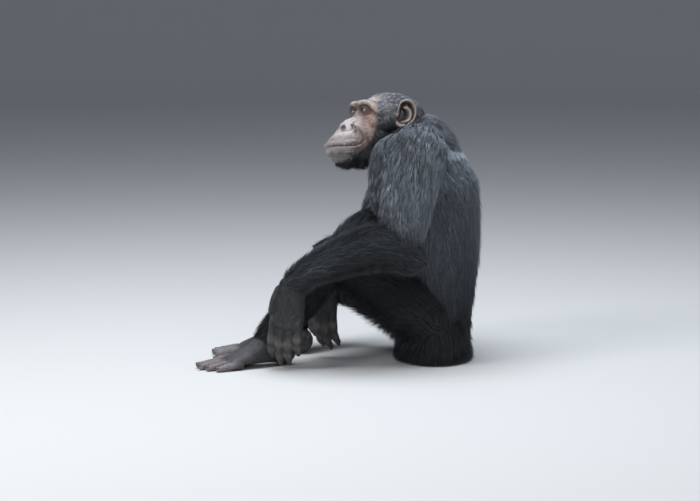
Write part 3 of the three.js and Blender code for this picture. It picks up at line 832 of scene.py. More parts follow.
earForm = {
    "at": (-2, 73, 8),
    "spread": 30.0,
    "outline": [
        (-20, -30), (-21, -12), (-20, 6), (-17, 22), (-8, 31), (3, 33), (15, 27), (23, 15), (25.5, 1),
        (23, -13), (14, -26), (2, -33), (-10, -35)],
    "middle": (-3.0, -2.0),  # where the rings shrink to
    "upWay": (-0.12, 0.1, 1.0),
}
earFolds = {
    "rim": (
        [(-19, 2), (-17, 18), (-8, 28.5), (3, 30), (14, 25), (21.5, 13.5), (23.5, 0), (21, -13), (12.5, -24)],
        3.4, 7.0),
    "lobe": ([(12.5, -24), (2, -30), (-8, -32), (-16, -27)], 4.5, 3.0),
    "inner": ([(-4, 12), (4, 10), (10, 4), (12.5, -5), (10, -15), (2, -20), (-5, -20)], 3.2, 5.4),
    "innerTop": ([(2, 10), (2, 17), (-2, 22)], 3.0, 2.8),
    "innerLow": ([(-4, 11), (-12, 10)], 2.6, 2.4),
    "guard": ([(-19, 6), (-16, -1), (-18, -8)], 4.2, 5.6),
    "cup": ([(-9, 4), (-6, -6), (-8, -13)], 7.5, -9.5),
    "groove": ([(8, 17), (16, 8), (18, -4), (14, -16), (4, -24)], 2.6, -2.6),
    "hollow": ([(-11, 20), (-3, 22), (6, 19)], 4.6, -4.4),
}
# The cup's tint is partly the darker skin inside the ear and partly painted shade in its hollows, and the
# rim's paler tint is partly painted light from above
earTints = {"rim": (0.34, 0.275, 0.255), "cup": (0.02, 0.013, 0.01), "back": (0.08, 0.07, 0.068)}


# The outline shrunk to the middle in rings, the front ones lifted by the folds, and the back
# ones a plain shell behind them, so that the cup is closed and thin at its rim
def makeEar(name, side):
    rows, around = 52, 132
    turn = np.linspace(0, 1, around, endpoint=False)
    outline = earForm["outline"]
    loop = curveAt(outline[-1:] + outline + outline[:2], (turn * len(outline) + 1) / (len(outline) + 2))
    share = np.linspace(0.001, 1.0, rows)
    flat = loop[None] * share[:, None, None] + np.array(earForm["middle"]) * (1 - share)[:, None, None]
    plan = flat.reshape(-1, 2)
    depths = np.zeros(len(plan))
    for line, width, rise in earFolds.values():
        depths += rise * near(plan, curveAt(line, np.linspace(0, 1, 24)), width)
    allShare = np.repeat(share, around)
    edge = step(allShare, 0.93, 1.0)
    lift = depths - 3.0 * edge + 2.0 * allShare**2 - 1.5
    curl = 1 - 0.05 * np.exp(-(((allShare - 0.97) / 0.04) ** 2))
    front = np.column_stack([lift, plan * curl[:, None]])
    shell = -4.5 - 8.0 * (1 - allShare**3) + 4.2 * step(allShare, 0.85, 1.0)
    rear = np.column_stack([shell, plan * 0.985])
    rings = np.concatenate([front.reshape(rows, around, 3), rear.reshape(rows, around, 3)[::-1]])
    spread = np.radians(earForm["spread"])
    upWay = unit(np.array(earForm["upWay"]) * (1, side, 1))
    opens = np.array([np.sin(spread), np.cos(spread) * side, 0.0])
    opens = unit(opens - upWay * (opens @ upWay))
    backWay = np.cross(opens, upWay) * -side
    points = rings @ np.stack([opens, backWay, upWay]) + np.array(earForm["at"]) * (1, side, 1)
    faces = gridFaces(len(rings), around)
    if side > 0:
        faces = faces[:, ::-1]
    made = makeObject("ear" + name.title(), fromHead(points.reshape(-1, 3)), faces)
    # Painted light and shade: the raised folds keep the pale rim tint, and everything lower than them takes
    # the dark cup tint
    colours = np.tile(np.array(earTints["rim"]), (len(plan), 1))
    colours = blend(colours, earTints["cup"], step(-depths, -4.4, 2.2))
    rearColours = np.tile(np.array(earTints["back"]), (len(plan), 1))
    setColour(made, "tint", np.concatenate([colours, rearColours]))
    return dress(made, faceSkin, "skin", "ear_" + name)


for name, side in sides.items():
    makeEar(name, side)
print("ears made")

# Hands and feet, from the same stations as the solids

handPlace = {
    "left": {"at": (-344, -212, 196), "along": (-0.16, 0.04, -1), "back": (-0.28, -0.96, 0), "side": -1},
    "right": {"at": (-274, -16, 210), "along": (-0.06, -0.05, -1), "back": (-0.5, -0.86, 0), "side": 1},
}
palmStations = [(-6, 0, 0, 29, 21), (30, 0, 0, 34, 18), (66, 0, 0, 40, 16), (88, 0, -2, 40, 13)]
fingers = {
    "index_finger": {"across": 31, "root": 84, "bones": (46, 30, 18), "thick": 10.0},
    "middle_finger": {"across": 10, "root": 88, "bones": (50, 34, 19), "thick": 10.2},
    "ring_finger": {"across": -11, "root": 87, "bones": (48, 32, 19), "thick": 10.0},
    "little_finger": {"across": -31, "root": 82, "bones": (38, 25, 17), "thick": 9.2},
}
fingerCurl = (8, 26, 52)  # bend of each bone towards the palm, in degrees
thumb = {"root": (14, 26, -8), "tip": (70, 44, -22), "thick": 12.0}
footPlace = {
    "left": {"at": (-400, -112), "turn": 25, "side": 1},
    "right": {"at": (-366, 60), "turn": 6, "side": -1},
}
footStations = [
    (-40, 0, 30, 27, 30), (-8, 0, 40, 31, 34), (28, 2, 36, 34, 30), (66, 4, 24, 38, 20), (98, 5, 16, 38, 13)]
toeForm = [(0, 1.0, 2, 1, 1), (0.45, 1.0, 3, 1.02, 0.98), (0.8, 0.95, 0, 0.94, 0.92), (1, 0.8, 0, 0.8, 0.78)]
toes = {
    "big_toe": {"root": (30, -18), "tip": (104, -60), "thick": 13.0},
    "second_toe": {"root": (92, -22), "tip": (164, -26), "thick": 9.4},
    "third_toe": {"root": (94, -1), "tip": (168, -2), "thick": 9.4},
    "fourth_toe": {"root": (92, 19), "tip": (160, 22), "thick": 9.0},
    "little_toe": {"root": (86, 38), "tip": (145, 45), "thick": 8.4},
}


def handFrame(place):
    x = unit(np.array(place["along"], float))
    z = np.array(place["back"], float)
    z = unit(z - x * (z @ x))
    return np.stack([x, np.cross(z, x) * place["side"], z])


def placeHand(place, points):
    return points @ handFrame(place) + np.array(place["at"], float)


def footFrame(place):
    heading = np.pi + np.radians(place["turn"])
    x = np.array([np.cos(heading), np.sin(heading), 0.0])
    return np.stack([x, np.cross((0, 0, 1.0), x) * place["side"], (0, 0, 1.0)])


def placeFoot(place, points):
    return points @ footFrame(place) + np.array([*place["at"], 0.0])


# A finger's joints, each bone bent further towards the palm than the last
def fingerJoints(spec):
    bends = np.radians(fingerCurl)
    x = spec["root"] + np.concatenate([[0], np.cumsum(np.array(spec["bones"]) * np.cos(bends))])
    z = -2 - np.concatenate([[0], np.cumsum(np.array(spec["bones"]) * np.sin(bends))])
    return np.stack([x, np.full(4, float(spec["across"])), z], 1)


def fingerStations(spec):
    joints = fingerJoints(spec)
    places = np.array([0, 0.5, 1, 1.5, 2, 2.5, 3]) / 3
    centres = curveAt(joints, places)
    thick = spec["thick"] * np.array([1.04, 0.93, 1.05, 0.88, 0.94, 0.8, 0.7])
    return np.column_stack([centres, thick, thick * 0.95])


def thumbStations():
    root, tip = np.array(thumb["root"], float), np.array(thumb["tip"], float)
    middle = (root + tip) / 2 + (0, 4, -2)
    thick = thumb["thick"]
    places = ((root, 1.3, 1.1), (middle, 1.0, 0.95), (tip, 0.76, 0.7))
    return [(*at, thick * wide, thick * deep) for at, wide, deep in places]


# Along a toe: the height of its middle for its thickness, with what is added, and its half sizes
def toeStations(spec):
    root, tip, thick = np.array(spec["root"]), np.array(spec["tip"]), spec["thick"]
    return [
        (*(root + (tip - root) * t), thick * high + more, thick * wide, thick * deep)
        for t, high, more, wide, deep in toeForm]


def handSurfaces(place):
    digits = [fingerStations(spec) for spec in fingers.values()]
    surfaces = [tube(freeLimb(rows), 0, 24, 20) for rows in (palmStations, thumbStations(), *digits)]
    surfaces += [lump((spec["root"] - 2, spec["across"], 7), (11, 8, 6)) for spec in fingers.values()]
    return [(placeHand(place, points), faces) for points, faces in surfaces]


def footSurfaces(place):
    digits = [toeStations(spec) for spec in toes.values()]
    surfaces = [tube(freeLimb(rows), 0, 24, 20) for rows in (footStations, *digits)]
    return [(placeFoot(place, points), faces) for points, faces in surfaces]


extremity = {"cell": 2.3, "rounds": 4, "floor": 0.4}
# Each tint with a paler one that is mixed in on the knuckles, along the fingers and over the toes
bareTints = {
    "hand": ((0.024, 0.024, 0.026), (0.13, 0.122, 0.122)),
    "foot": ((0.045, 0.043, 0.047), (0.27, 0.235, 0.235)),
}


def makeBare(name, surfaces, creases, nodes):
    made = fuse(name, surfaces, extremity["cell"])
    points = relax(pointsOf(made), edgesOf(made), extremity["rounds"])
    setPoints(made, points)
    normals = normalsOf(made)
    folded, paler = creases(points)
    points = points - normals * folded[:, None]
    points[:, 2] = np.maximum(points[:, 2], extremity["floor"])
    setPoints(made, points * mm)
    tint, paleTint = bareTints[name[:4]]
    colours = blend(np.tile(np.array(tint), (len(points), 1)), paleTint, paler)
    # Painted shade: the creases are darkened towards three tenths of the tint
    colours = blend(colours, np.array(tint) * 0.3, folded * 0.9)
    setColour(made, "tint", colours)
    return dress(made, handSkin, "skin", *nodes)


# Creases across each finger joint, and the paler knuckles between them
def handCreases(place):
    def find(points):
        folded, paler = np.zeros(len(points)), np.zeros(len(points))
        for spec in fingers.values():
            joints = placeHand(place, fingerJoints(spec))
            sideWay = handFrame(place)[1] * 11
            backWay = handFrame(place)[2] * spec["thick"]
            for k, joint in enumerate(joints[1:3]):
                way = unit(joints[k + 2] - joints[k])
                for shift in (-4.5, 0, 4.5):
                    middle = joint + backWay + way * shift
                    folded += 0.9 * near(points, [middle - sideWay * 0.7, middle + sideWay * 0.7], 1.3)
                knuckle = [joint + backWay - sideWay * 0.3, joint + backWay + sideWay * 0.3]
                paler = np.maximum(paler, near(points, knuckle, 9.0))
            paler = np.maximum(paler, 0.5 * near(points, joints[1:], 10.0))
        return folded, paler
    return find


def footCreases(place):
    def find(points):
        folded, paler = np.zeros(len(points)), np.zeros(len(points))
        for spec in toes.values():
            line = placeFoot(place, np.array(toeStations(spec))[:, :3])
            sideWay = footFrame(place)[1] * spec["thick"]
            for share in (0.3, 0.45, 0.6, 0.78):
                middle = line[0] + (line[-1] - line[0]) * share + (0, 0, spec["thick"])
                folded += 0.5 * near(points, [middle - sideWay * 0.8, middle + sideWay * 0.8], 1.4)
            paler = np.maximum(paler, 0.9 * near(points, line[1:], 12.0))
        return folded, paler
    return find


for name in sides:
    digits = [digit + "_" + name for digit in [*fingers, "thumb"]]
    place = handPlace[name]
    makeBare("hand" + name.title(), handSurfaces(place), handCreases(place), ["hand_" + name, *digits])
    digits = [digit + "_" + name for digit in toes]
    place = footPlace[name]
    makeBare("foot" + name.title(), footSurfaces(place), footCreases(place), ["foot_" + name, *digits])
print("hands and feet made")

# Nails: a plate curved over the end of each finger and toe

nails = {
    "length": 1.25,
    "cover": 1.05,
    "patches": (700.0, [(0.3, (0.02, 0.016, 0.015)), (0.75, (0.075, 0.058, 0.05))]),
}


def nailMaterial():
    nodes = Nodes("nailHorn")
    place = nodes.add("TexCoord").outputs["Object"]
    nodes.link(mottled(nodes, place, *nails["patches"]), nodes.shader.inputs["Base Color"])
    nodes.set(Roughness=0.3)
    return nodes.material


nailHorn = nailMaterial()


# The plate runs from root to free edge and wraps over the top of the digit, thin at its sides
def nailPoints(tip, way, outward, thick):
    sideWay = np.cross(way, outward)
    rows, columns = 10, 12
    along, turn = np.meshgrid(np.linspace(-0.75, 0.62, rows), np.linspace(-1, 1, columns), indexing="ij")
    lift = 0.86 + 0.06 * (1 - turn**2) - 0.12 * np.clip(along, 0, 1) ** 2
    width = 0.92 - 0.16 * np.clip(-along, 0, 1) - 0.1 * np.clip(along - 0.3, 0, 1)
    angle = turn * nails["cover"] * width
    radius = thick * lift
    top = tip + way * (along * thick * nails["length"])[..., None]
    top = top + outward * (np.cos(angle) * radius)[..., None] + sideWay * (np.sin(angle) * radius)[..., None]
    under = top - outward * 1.1
    ring = np.concatenate([top, under[:, ::-1]], 1)
    return closeEnds(ring)


def makeNails(name, tips, slotName):
    points, faces = joined([nailPoints(*tip) for tip in tips])
    return dress(makeObject(name, points * mm, faces), nailHorn, slotName)


def handTips(place):
    rows = []
    for spec in fingers.values():
        joints = placeHand(place, fingerJoints(spec))
        way = unit(joints[3] - joints[2])
        outward = handFrame(place)[2]
        outward = unit(outward - way * (outward @ way))
        rows.append((joints[3], way, outward, spec["thick"] * 0.8))
    return rows


def footTips(place):
    rows = []
    for spec in toes.values():
        line = placeFoot(place, np.array(toeStations(spec))[:, :3])
        way = unit(line[3] - line[2])
        outward = unit(np.array([0, 0, 1.0]) - way * way[2])
        rows.append((line[3], way, outward, spec["thick"] * 0.88))
    return rows


for name in sides:
    makeNails("fingerNails" + name.title(), handTips(handPlace[name]), "skin")
    makeNails("toeNails" + name.title(), footTips(footPlace[name]), "skin")
print("nails made")

# Coat: each tuft is a thin three-sided blade. It starts under the skin and lies along the
# limb, with its places along and round the limb and its height given ring by ring

rings = np.array([0.0, 0.42, 1.0])
ringWidth = np.array([0.8, 1.0, 0.0])
ringTint = np.array([0.35] * 3 + [0.95] * 3 + [1.25])  # at a tuft's seven points
tuftForm = {"sway": 0.3, "gather": 0.6, "bow": 2.6, "droop": 5.0, "thighDroop": 24.0, "ridge": 0.8}
dice = np.random.default_rng(23)


def randoms(count, low=0.0, high=1.0):
    return low + (high - low) * dice.random(count)


# A smooth wandering value from -1 to 1 over two coordinates
def wander(u, v, seed):
    waves = np.sin(u * 1.3 + seed) + np.sin(v * 1.1 + 2.1 * seed) + np.sin((u + v) * 0.7 + 3.7 * seed)
    return (waves + np.sin((u - v) * 1.9 + seed)) / 4


def between(low, high, share):
    return np.array(low) + (np.array(high) - np.array(low)) * share[:, None]


def scatter(values):
    values = np.sin(values) * 43758.5453
    return values - np.floor(values)


# Tufts gather: each leans to the middle of its cell of the coat, which is moved at random, and
# shares the cell's own number from 0 to 1
def gather(u, v, seed):
    cellU, cellV = np.floor(u), np.floor(v)
    first = scatter(cellU * 127.1 + cellV * 311.7 + seed)
    second = scatter(cellU * 269.5 + cellV * 183.3 + seed)
    return cellU + 0.2 + 0.6 * first - u, cellV + 0.2 + 0.6 * second - v, first


# Whether points lie inside a limb that is grown by the height
def insideLimb(limb, points, height):
    centre, way, a, b, half = limbFrame(limb, np.linspace(0, 1, 36))
    offset = points[:, None, :] - centre[None]
    k = np.linalg.norm(offset, axis=2).argmin(1)
    offset = offset[np.arange(len(points)), k]
    half = half[k] + height
    x = (offset * a[k]).sum(1) / half[:, 0]
    z = (offset * b[k]).sum(1) / half[:, 1]
    y = (offset * way[k]).sum(1) / (half.min(1) * limb["dome"])
    return x**2 + z**2 + y**2 < 1


# Each limb's coat: tufts, lie (1 towards its far end), lengths, width, height of the tips, cell
# of the gathering, and the tints of its dark and its grey hair
# The coat is black all over. The light blue-greys of the trunk, neck, shoulders and upper arms are painted
# sky light and sheen, and the near-black tints of the forearms and legs are painted shade
skyLitBlueGrey, softGrey, shadedLegBlack = (0.29, 0.318, 0.365), (0.062, 0.066, 0.072), (0.015, 0.0155, 0.016)
skyLitDarkGrey, shadedArmDark, shadedLegDark = (0.13, 0.141, 0.16), (0.012, 0.0125, 0.0135), (0.005, 0.005, 0.0052)
coats = {
    "trunk": (42000, -1, (40, 66), 1.7, (-3, 8), 15, skyLitDarkGrey, skyLitBlueGrey),
    "neck": (12000, -1, (36, 58), 1.5, (-2, 11), 12, skyLitDarkGrey, skyLitBlueGrey),
    "mantleLeft": (6500, 1, (40, 64), 1.6, (-3, 8), 13, skyLitDarkGrey, skyLitBlueGrey),
    "mantleRight": (5000, 1, (40, 64), 1.7, (-3, 8), 13, skyLitDarkGrey, skyLitBlueGrey),
    "ruffLeft": (7500, 1, (40, 64), 1.6, (-3, 8), 13, skyLitDarkGrey, skyLitBlueGrey),
    "ruffRight": (4500, 1, (40, 64), 1.7, (-3, 8), 13, skyLitDarkGrey, skyLitBlueGrey),
    "upperArmLeft": (16500, 1, (42, 68), 1.5, (-3, 8), 13, skyLitDarkGrey, skyLitBlueGrey),
    "upperArmRight": (12000, 1, (42, 68), 1.7, (-3, 8), 13, skyLitDarkGrey, skyLitBlueGrey),
    "forearmLeft": (17000, -1, (32, 58), 1.35, (-3, 9), 11, shadedArmDark, softGrey),
    "forearmRight": (12000, -1, (32, 58), 1.5, (-3, 9), 11, shadedArmDark, softGrey),
    "thighLeft": (12500, 1, (36, 56), 1.6, (-3, 8), 13, shadedLegDark, shadedLegBlack),
    "thighRight": (11500, 1, (36, 56), 1.7, (-3, 8), 13, shadedLegDark, shadedLegBlack),
    "shinLeft": (8500, 1, (26, 44), 1.4, (-4, 6), 11, shadedLegDark, shadedLegBlack),
    "shinRight": (8500, 1, (26, 44), 1.4, (-4, 6), 11, shadedLegDark, shadedLegBlack),
    "handLeft": (7000, 1, (10, 18), 0.8, (0.2, 2.2), 4, (0.026, 0.027, 0.03), softGrey),
    "handRight": (5000, 1, (10, 18), 0.8, (0.2, 2.2), 4, (0.026, 0.027, 0.03), softGrey),
    "footLeft": (5500, 1, (10, 18), 0.8, (0.2, 2.2), 4, (0.03, 0.031, 0.034), softGrey),
    "footRight": (4500, 1, (10, 18), 0.8, (0.2, 2.2), 4, (0.03, 0.031, 0.034), softGrey),
}
coatEnds = {"neck": (-0.2, 0.95), "trunk": (-0.13, 1.1)}
bareEnds = {"hand": 0.95, "foot": 0.72}  # where the hair of a hand or foot gives way to skin


# The palm and the foot as limbs in the frame of the body, so that they carry a coat too
def placedLimb(stations, matrix, at):
    stations = np.asarray(stations, float)
    centres = stations[:, :3] @ matrix + at
    return freeLimb(np.column_stack([centres, stations[:, 3:]]), matrix[1])


for name in sides:
    hand, foot = handPlace[name], footPlace[name]
    limbs["hand" + name.title()] = placedLimb(palmStations, handFrame(hand), np.array(hand["at"], float))
    limbs["foot" + name.title()] = placedLimb(footStations, footFrame(foot), np.array([*foot["at"], 0.0]))


# How far the coat of a limb stands out beyond its usual height, in millimetres: a ruff at the
# throat, fuller hair on the chest and round the seat, and longer hair on the forearms
def fullness(name, root, t):
    x, y, z = root.T
    if name == "neck":
        return 26 * step(-60 - x, 0, 50) * step(520 - z, -30, 30)
    if name == "trunk":
        return 16 * step(150 - z, 0, 80) + 8 * step(-110 - x, 0, 30) * step(z, 400, 470)
    if name.startswith("forearm"):
        return 5 * step(0.55 - t, 0, 0.4)
    return 0 * x


# What a limb's tint is multiplied by, as painted light and shade: the coat is darker on the loins, at the
# elbows and round the heels, and lighter on the shoulders
def shade(name, root, t):
    if name == "trunk":
        return 0.13 + 0.87 * step(root[:, 2], 110, 380) + 0.8 * step(root[:, 2], 400, 500)
    if name.startswith("upperArm"):
        return 1.25 - 0.8 * step(t, 0.62, 1.0)
    if name.startswith("forearm"):
        return 0.6 + 0.9 * step(t, 0.35, 1.0)
    if name.startswith("foot"):
        return 0.3 + 0.7 * step(t, 0.05, 0.45)
    return np.ones(len(t))


# Roots spread over a limb, without those inside another limb or under the floor
def rootsOn(name, count, low, high, depth):
    limb = limbs[name]
    t, turn = randoms(count, low, high), randoms(count, 0, 2 * np.pi)
    radius = limbFrame(limb, np.clip(t, 0, 1))[4].mean(1)
    root = onLimb(limb, t, turn, np.full(count, depth))
    hidden = np.zeros(count, bool)
    for other, form in limbs.items():
        if other != name and other[:4] not in bareEnds and not other.startswith("mantle"):
            hidden |= insideLimb(form, root, -skinDepth - 3)
    if name[:4] in bareEnds:
        centre = limbFrame(limb, np.clip(t, 0, 1))[0]
        back = np.array([0, 0, 1.0])
        if name.startswith("hand"):
            back = handFrame(handPlace[name[4:].lower()])[2]
        hidden |= (unit(root - centre) @ back < -0.3) | (dice.random(count) < step(t, 0.35, high))
    keep = ~hidden & (root[:, 2] > 1.5) & (dice.random(count) < radius / radius.max() * 1.15)
    return t[keep], turn[keep], radius[keep], root[keep]


# How a tuft rises from its root, fast at first
def arch(s):
    return 1 - (1 - s) ** 1.7


# Round the seat the hair hangs straight down to the floor
def hang(name, root, t, length, path, outward):
    if name != "trunk" and not name.startswith("thigh"):
        return path
    share = step(88 - root[:, 2], 0, 40)
    if name != "trunk":
        share = np.maximum(share * step(0.42 - t, 0, 0.25), step(0.12 - t, 0, 0.2))
    away = unit(outward[:, :1] * (1, 1, 0) + 1e-6)
    s = rings[None, :, None]
    out = skinDepth + (26 if name == "trunk" else 12)
    drop = away * out * arch(s) - (0, 0, 1) * s * length[:, None, None]
    share = (share[:, None] * np.minimum(1, 2 * rings[None]))[..., None]
    return path * (1 - share) + (root[:, None] + drop) * share


def limbTufts(name, number):
    count, lie, lengths, width, tips, cell, dark, grey = coats[name]
    limb = limbs[name]
    low, high = coatEnds.get(name, (-0.14, 1.12))
    bare = name[:4] in bareEnds
    depth = -1.5 if bare else -skinDepth
    high = bareEnds[name[:4]] if bare else high
    t, turn, radius, root = rootsOn(name, count, low, high, depth)
    count = len(t)
    length = randoms(count, *lengths) * randoms(count, 0.8, 1.0)
    length = np.minimum(length, np.maximum(root[:, 2], 9)) if name[:5] in ("trunk", "thigh") else length
    length = length * (1 + 1.1 * step(0.3 - t, 0, 0.3)) if name.startswith("foot") else length
    u, v = t * limb["length"] / cell, turn * radius / cell
    toU, toV, own = gather(u, v, number)
    sway = tuftForm["sway"] * wander(u * 0.3, v * 0.3, number) + randoms(count, -0.14, 0.14)
    s = rings[None]
    pull = tuftForm["gather"] * s**1.4 * cell
    along = lie * length[:, None] * s * np.cos(sway)[:, None] + toU[:, None] * pull
    aside = length[:, None] * np.sin(sway)[:, None] * s + toV[:, None] * pull
    aside = aside + randoms(count, -tuftForm["bow"], tuftForm["bow"])[:, None] * np.sin(np.pi * s)
    tipHeight = randoms(count, *tips) * (0.5 + 0.9 * own) + fullness(name, root, t) * (0.5 + 0.6 * own)
    height = depth - 2 + (tipHeight - depth + 2)[:, None] * arch(s)
    places = t[:, None] + along / limb["length"], turn[:, None] + aside / radius[:, None]
    path = onLimb(limb, *places, height)
    outward = unit(onLimb(limb, *places, height + 1.0) - path)
    more = tuftForm["thighDroop"] if name.startswith("thigh") else 0.0
    droop = tuftForm["droop"] + more * step(0.62 - t, 0, 0.3)
    path[..., 2] -= droop[:, None] * s**2 * np.clip(-outward[..., 2], 0, 1)
    path = hang(name, root, t, length, path, outward)
    share = step(0.5 + 0.36 * wander(u * 0.22, v * 0.22, number + 5) + 0.14 * (own - 0.5), 0.1, 1.0)
    tint = between(dark, grey, share) * shade(name, root, t)[:, None]
    tint = tint * (0.9 + 0.18 * own)[:, None] * randoms(count, 0.65, 1.3)[:, None]
    rootPlace = np.stack([(t - low) / (high - low), np.mod(turn / (2 * np.pi), 1)], 1)
    return path, outward, width * randoms(count, 0.65, 1.15), tint, rootPlace


# Blades along the paths: at the root and the bend two edge points and a ridge point, and one
# point at the tip
def blades(path, outward, width):
    count = len(path)
    way = unit(np.gradient(path, axis=1))
    sideWay = unit(np.cross(way, outward))
    half = (width[:, None] * ringWidth[None] / 2)[..., None]
    left, right = path - sideWay * half, path + sideWay * half
    upright = unit(outward - way * (outward * way).sum(-1, keepdims=True))
    ridge = path + upright * half * tuftForm["ridge"]
    points = np.concatenate([np.stack([left, right, ridge], 2)[:, :2].reshape(count, 6, 3), path[:, 2:]], 1)
    points[..., 2] = np.maximum(points[..., 2], 0.8)
    k = np.arange(3)
    n = (k + 1) % 3
    corners = [(k, n, 3 + n), (k, 3 + n, 3 + k), (3 + k, 3 + n, np.full(3, 6))]
    one = np.concatenate([np.stack(three, 1) for three in corners])
    faces = (np.arange(count)[:, None, None] * 7 + one[None]).reshape(-1, 3)
    return points.reshape(-1, 3), faces


# The shading of a tuft leans from its own faces towards the form of the body under it, as the
# many fine hairs that it stands for would
softness = 0.3


def softenShading(made, outward):
    normals = normalsOf(made)
    body = np.concatenate([np.repeat(outward[:, :2], 3, axis=1), outward[:, 2:]], 1).reshape(-1, 3)
    mixed = unit(normals * (1 - softness) + body * softness)
    made.data.normals_split_custom_set_from_vertices(mixed.tolist())


# One coat piece. Its map puts each tuft on a patch at its root's place, with the limbs side by
# side as strips of one unwrap of the skin
def makeCoat(name, tufts, strips):
    points, faces = joined([blades(path, outward, width) for path, outward, width, _, _ in tufts])
    made = makeObject(name, points * mm, faces)
    tint = np.concatenate([part[3] for part in tufts])
    setColour(made, "tint", (tint[:, None] * ringTint[None, :, None]).reshape(-1, 3))
    corner = np.array([(0, 0), (1, 0), (0.5, 0), (0, 0.4), (1, 0.4), (0.5, 0.4), (0.5, 1)]) * 0.003
    places = [
        ((np.array(low) + part[4] * (np.array(size) - 0.004))[:, None] + corner[None]).reshape(-1, 2)
        for part, (low, size) in zip(tufts, strips)]
    layer = made.data.uv_layers.new(name="OFBake")
    layer.data.foreach_set("uv", np.concatenate(places)[faces.ravel()].astype(np.float32).ravel())
    softenShading(made, np.concatenate([part[1] for part in tufts]))
    dress(made, blackHair, "coat")
    print(name, len(faces))
    return made


stripNames = list(limbs)


def stripOf(name):
    k = stripNames.index(name)
    return (0.01 + 0.163 * (k % 6), 0.01 + 0.218 * (k // 6)), (0.157, 0.21)


coatPieces = {
    "coatTrunkFront": ["trunk"],
    "coatTrunkBack": ["trunk"],
    "coatNeck": ["neck", "mantleLeft", "ruffLeft"],
    "coatUpperArmLeft": ["upperArmLeft"],
    "coatUpperArmRight": ["upperArmRight", "mantleRight", "ruffRight"],
    "coatForearmLeft": ["forearmLeft", "handLeft"],
    "coatForearmRight": ["forearmRight", "handRight"],
    "coatLegLeft": ["thighLeft", "shinLeft", "footLeft"],
    "coatLegRight": ["thighRight", "shinRight", "footRight"],
}
grown = {name: limbTufts(name, number + 1) for number, name in enumerate(coats)}
isBack = grown["trunk"][0][:, 0, 0] > -22
for name, group in coatPieces.items():
    tufts = [grown[limb] for limb in group]
    if name.startswith("coatTrunk"):
        wanted = isBack if name.endswith("Back") else ~isBack
        tufts = [tuple(part[wanted] for part in tufts[0])]
    makeCoat(name, tufts, [stripOf(limb) for limb in group])

# Hair of the head, grown from the head's own surface

headHair = {
    "crown": (13, 22),
    "cheek": (22, 36),
    "beard": (26, 42),
    "width": 1.05,
    "count": 20500,
    "cell": 8.0,
    "bend": 80.0,
    "dark": (0.085, 0.087, 0.094),
    "grey": (0.58, 0.585, 0.61),
    "pale": (0.6, 0.58, 0.55),
}


def surfaceSpots(made, points, weights, count):
    made.data.calc_loop_triangles()
    corners = np.empty(len(made.data.loop_triangles) * 3, np.int32)
    made.data.loop_triangles.foreach_get("vertices", corners)
    corners = corners.reshape(-1, 3)
    a, b, c = (points[corners[:, k]] for k in range(3))
    cross = np.cross(b - a, c - a)
    size = np.linalg.norm(cross, axis=1) * weights[corners].mean(1)
    chosen = dice.choice(len(corners), count, p=size / size.sum())
    p, q = np.sqrt(dice.random(count)), dice.random(count)
    shares = np.stack([1 - p, p * (1 - q), p * q], 1)[..., None]
    spots = shares[:, 0] * a[chosen] + shares[:, 1] * b[chosen] + shares[:, 2] * c[chosen]
    return spots, unit(cross[chosen])


# The way the hair lies: back over the crown, down and back on the cheeks, and down at the throat
def hairWay(spots):
    x, y, z = spots.T
    side = np.sign(y) * step(np.abs(y), 10, 50)
    down = step(-z, -42, 10)
    back = np.stack([-np.ones(len(x)), side * 0.25, -0.15 * np.ones(len(x))], 1)
    low = np.stack([-0.5 * np.ones(len(x)), side * 0.1, -np.ones(len(x))], 1)
    return unit(back * (1 - down)[:, None] + low * down[:, None])


def headTufts(spots, normals, length, width, lift, tint, seed):
    count = len(spots)
    way = hairWay(spots) + 0.15 * dice.standard_normal((count, 3))
    way = unit(way - normals * (way * normals).sum(1, keepdims=True))
    cell, bend = headHair["cell"], headHair["bend"]
    _, toV, own = gather((spots[:, 0] + spots[:, 2]) / cell, (spots[:, 1] - spots[:, 2]) / cell, seed)
    s = rings[None, :, None]
    reach = length[:, None, None] * s
    path = spots[:, None] + way[:, None] * reach - normals[:, None] * (reach**2) / (2 * bend)
    path = path + normals[:, None] * (lift[:, None, None] * arch(s) - 1.2 * (1 - s))
    path = path + np.cross(normals, way)[:, None] * (toV[:, None, None] * 0.5 * cell * s**1.4)
    outward = unit(normals[:, None] + way[:, None] * reach / bend)
    x, y, z = spots.T
    turned, up = np.mod(np.arctan2(y, x) / (2 * np.pi) + 0.5, 1), np.clip((z + 120) / 200, 0, 1)
    rootPlace = np.stack([turned, up], 1)
    tint = tint * (0.6 + 0.6 * own)[:, None] * randoms(count, 0.7, 1.25)[:, None]
    return fromHead(path) / mm, outward @ headTurn.T, width, tint, rootPlace


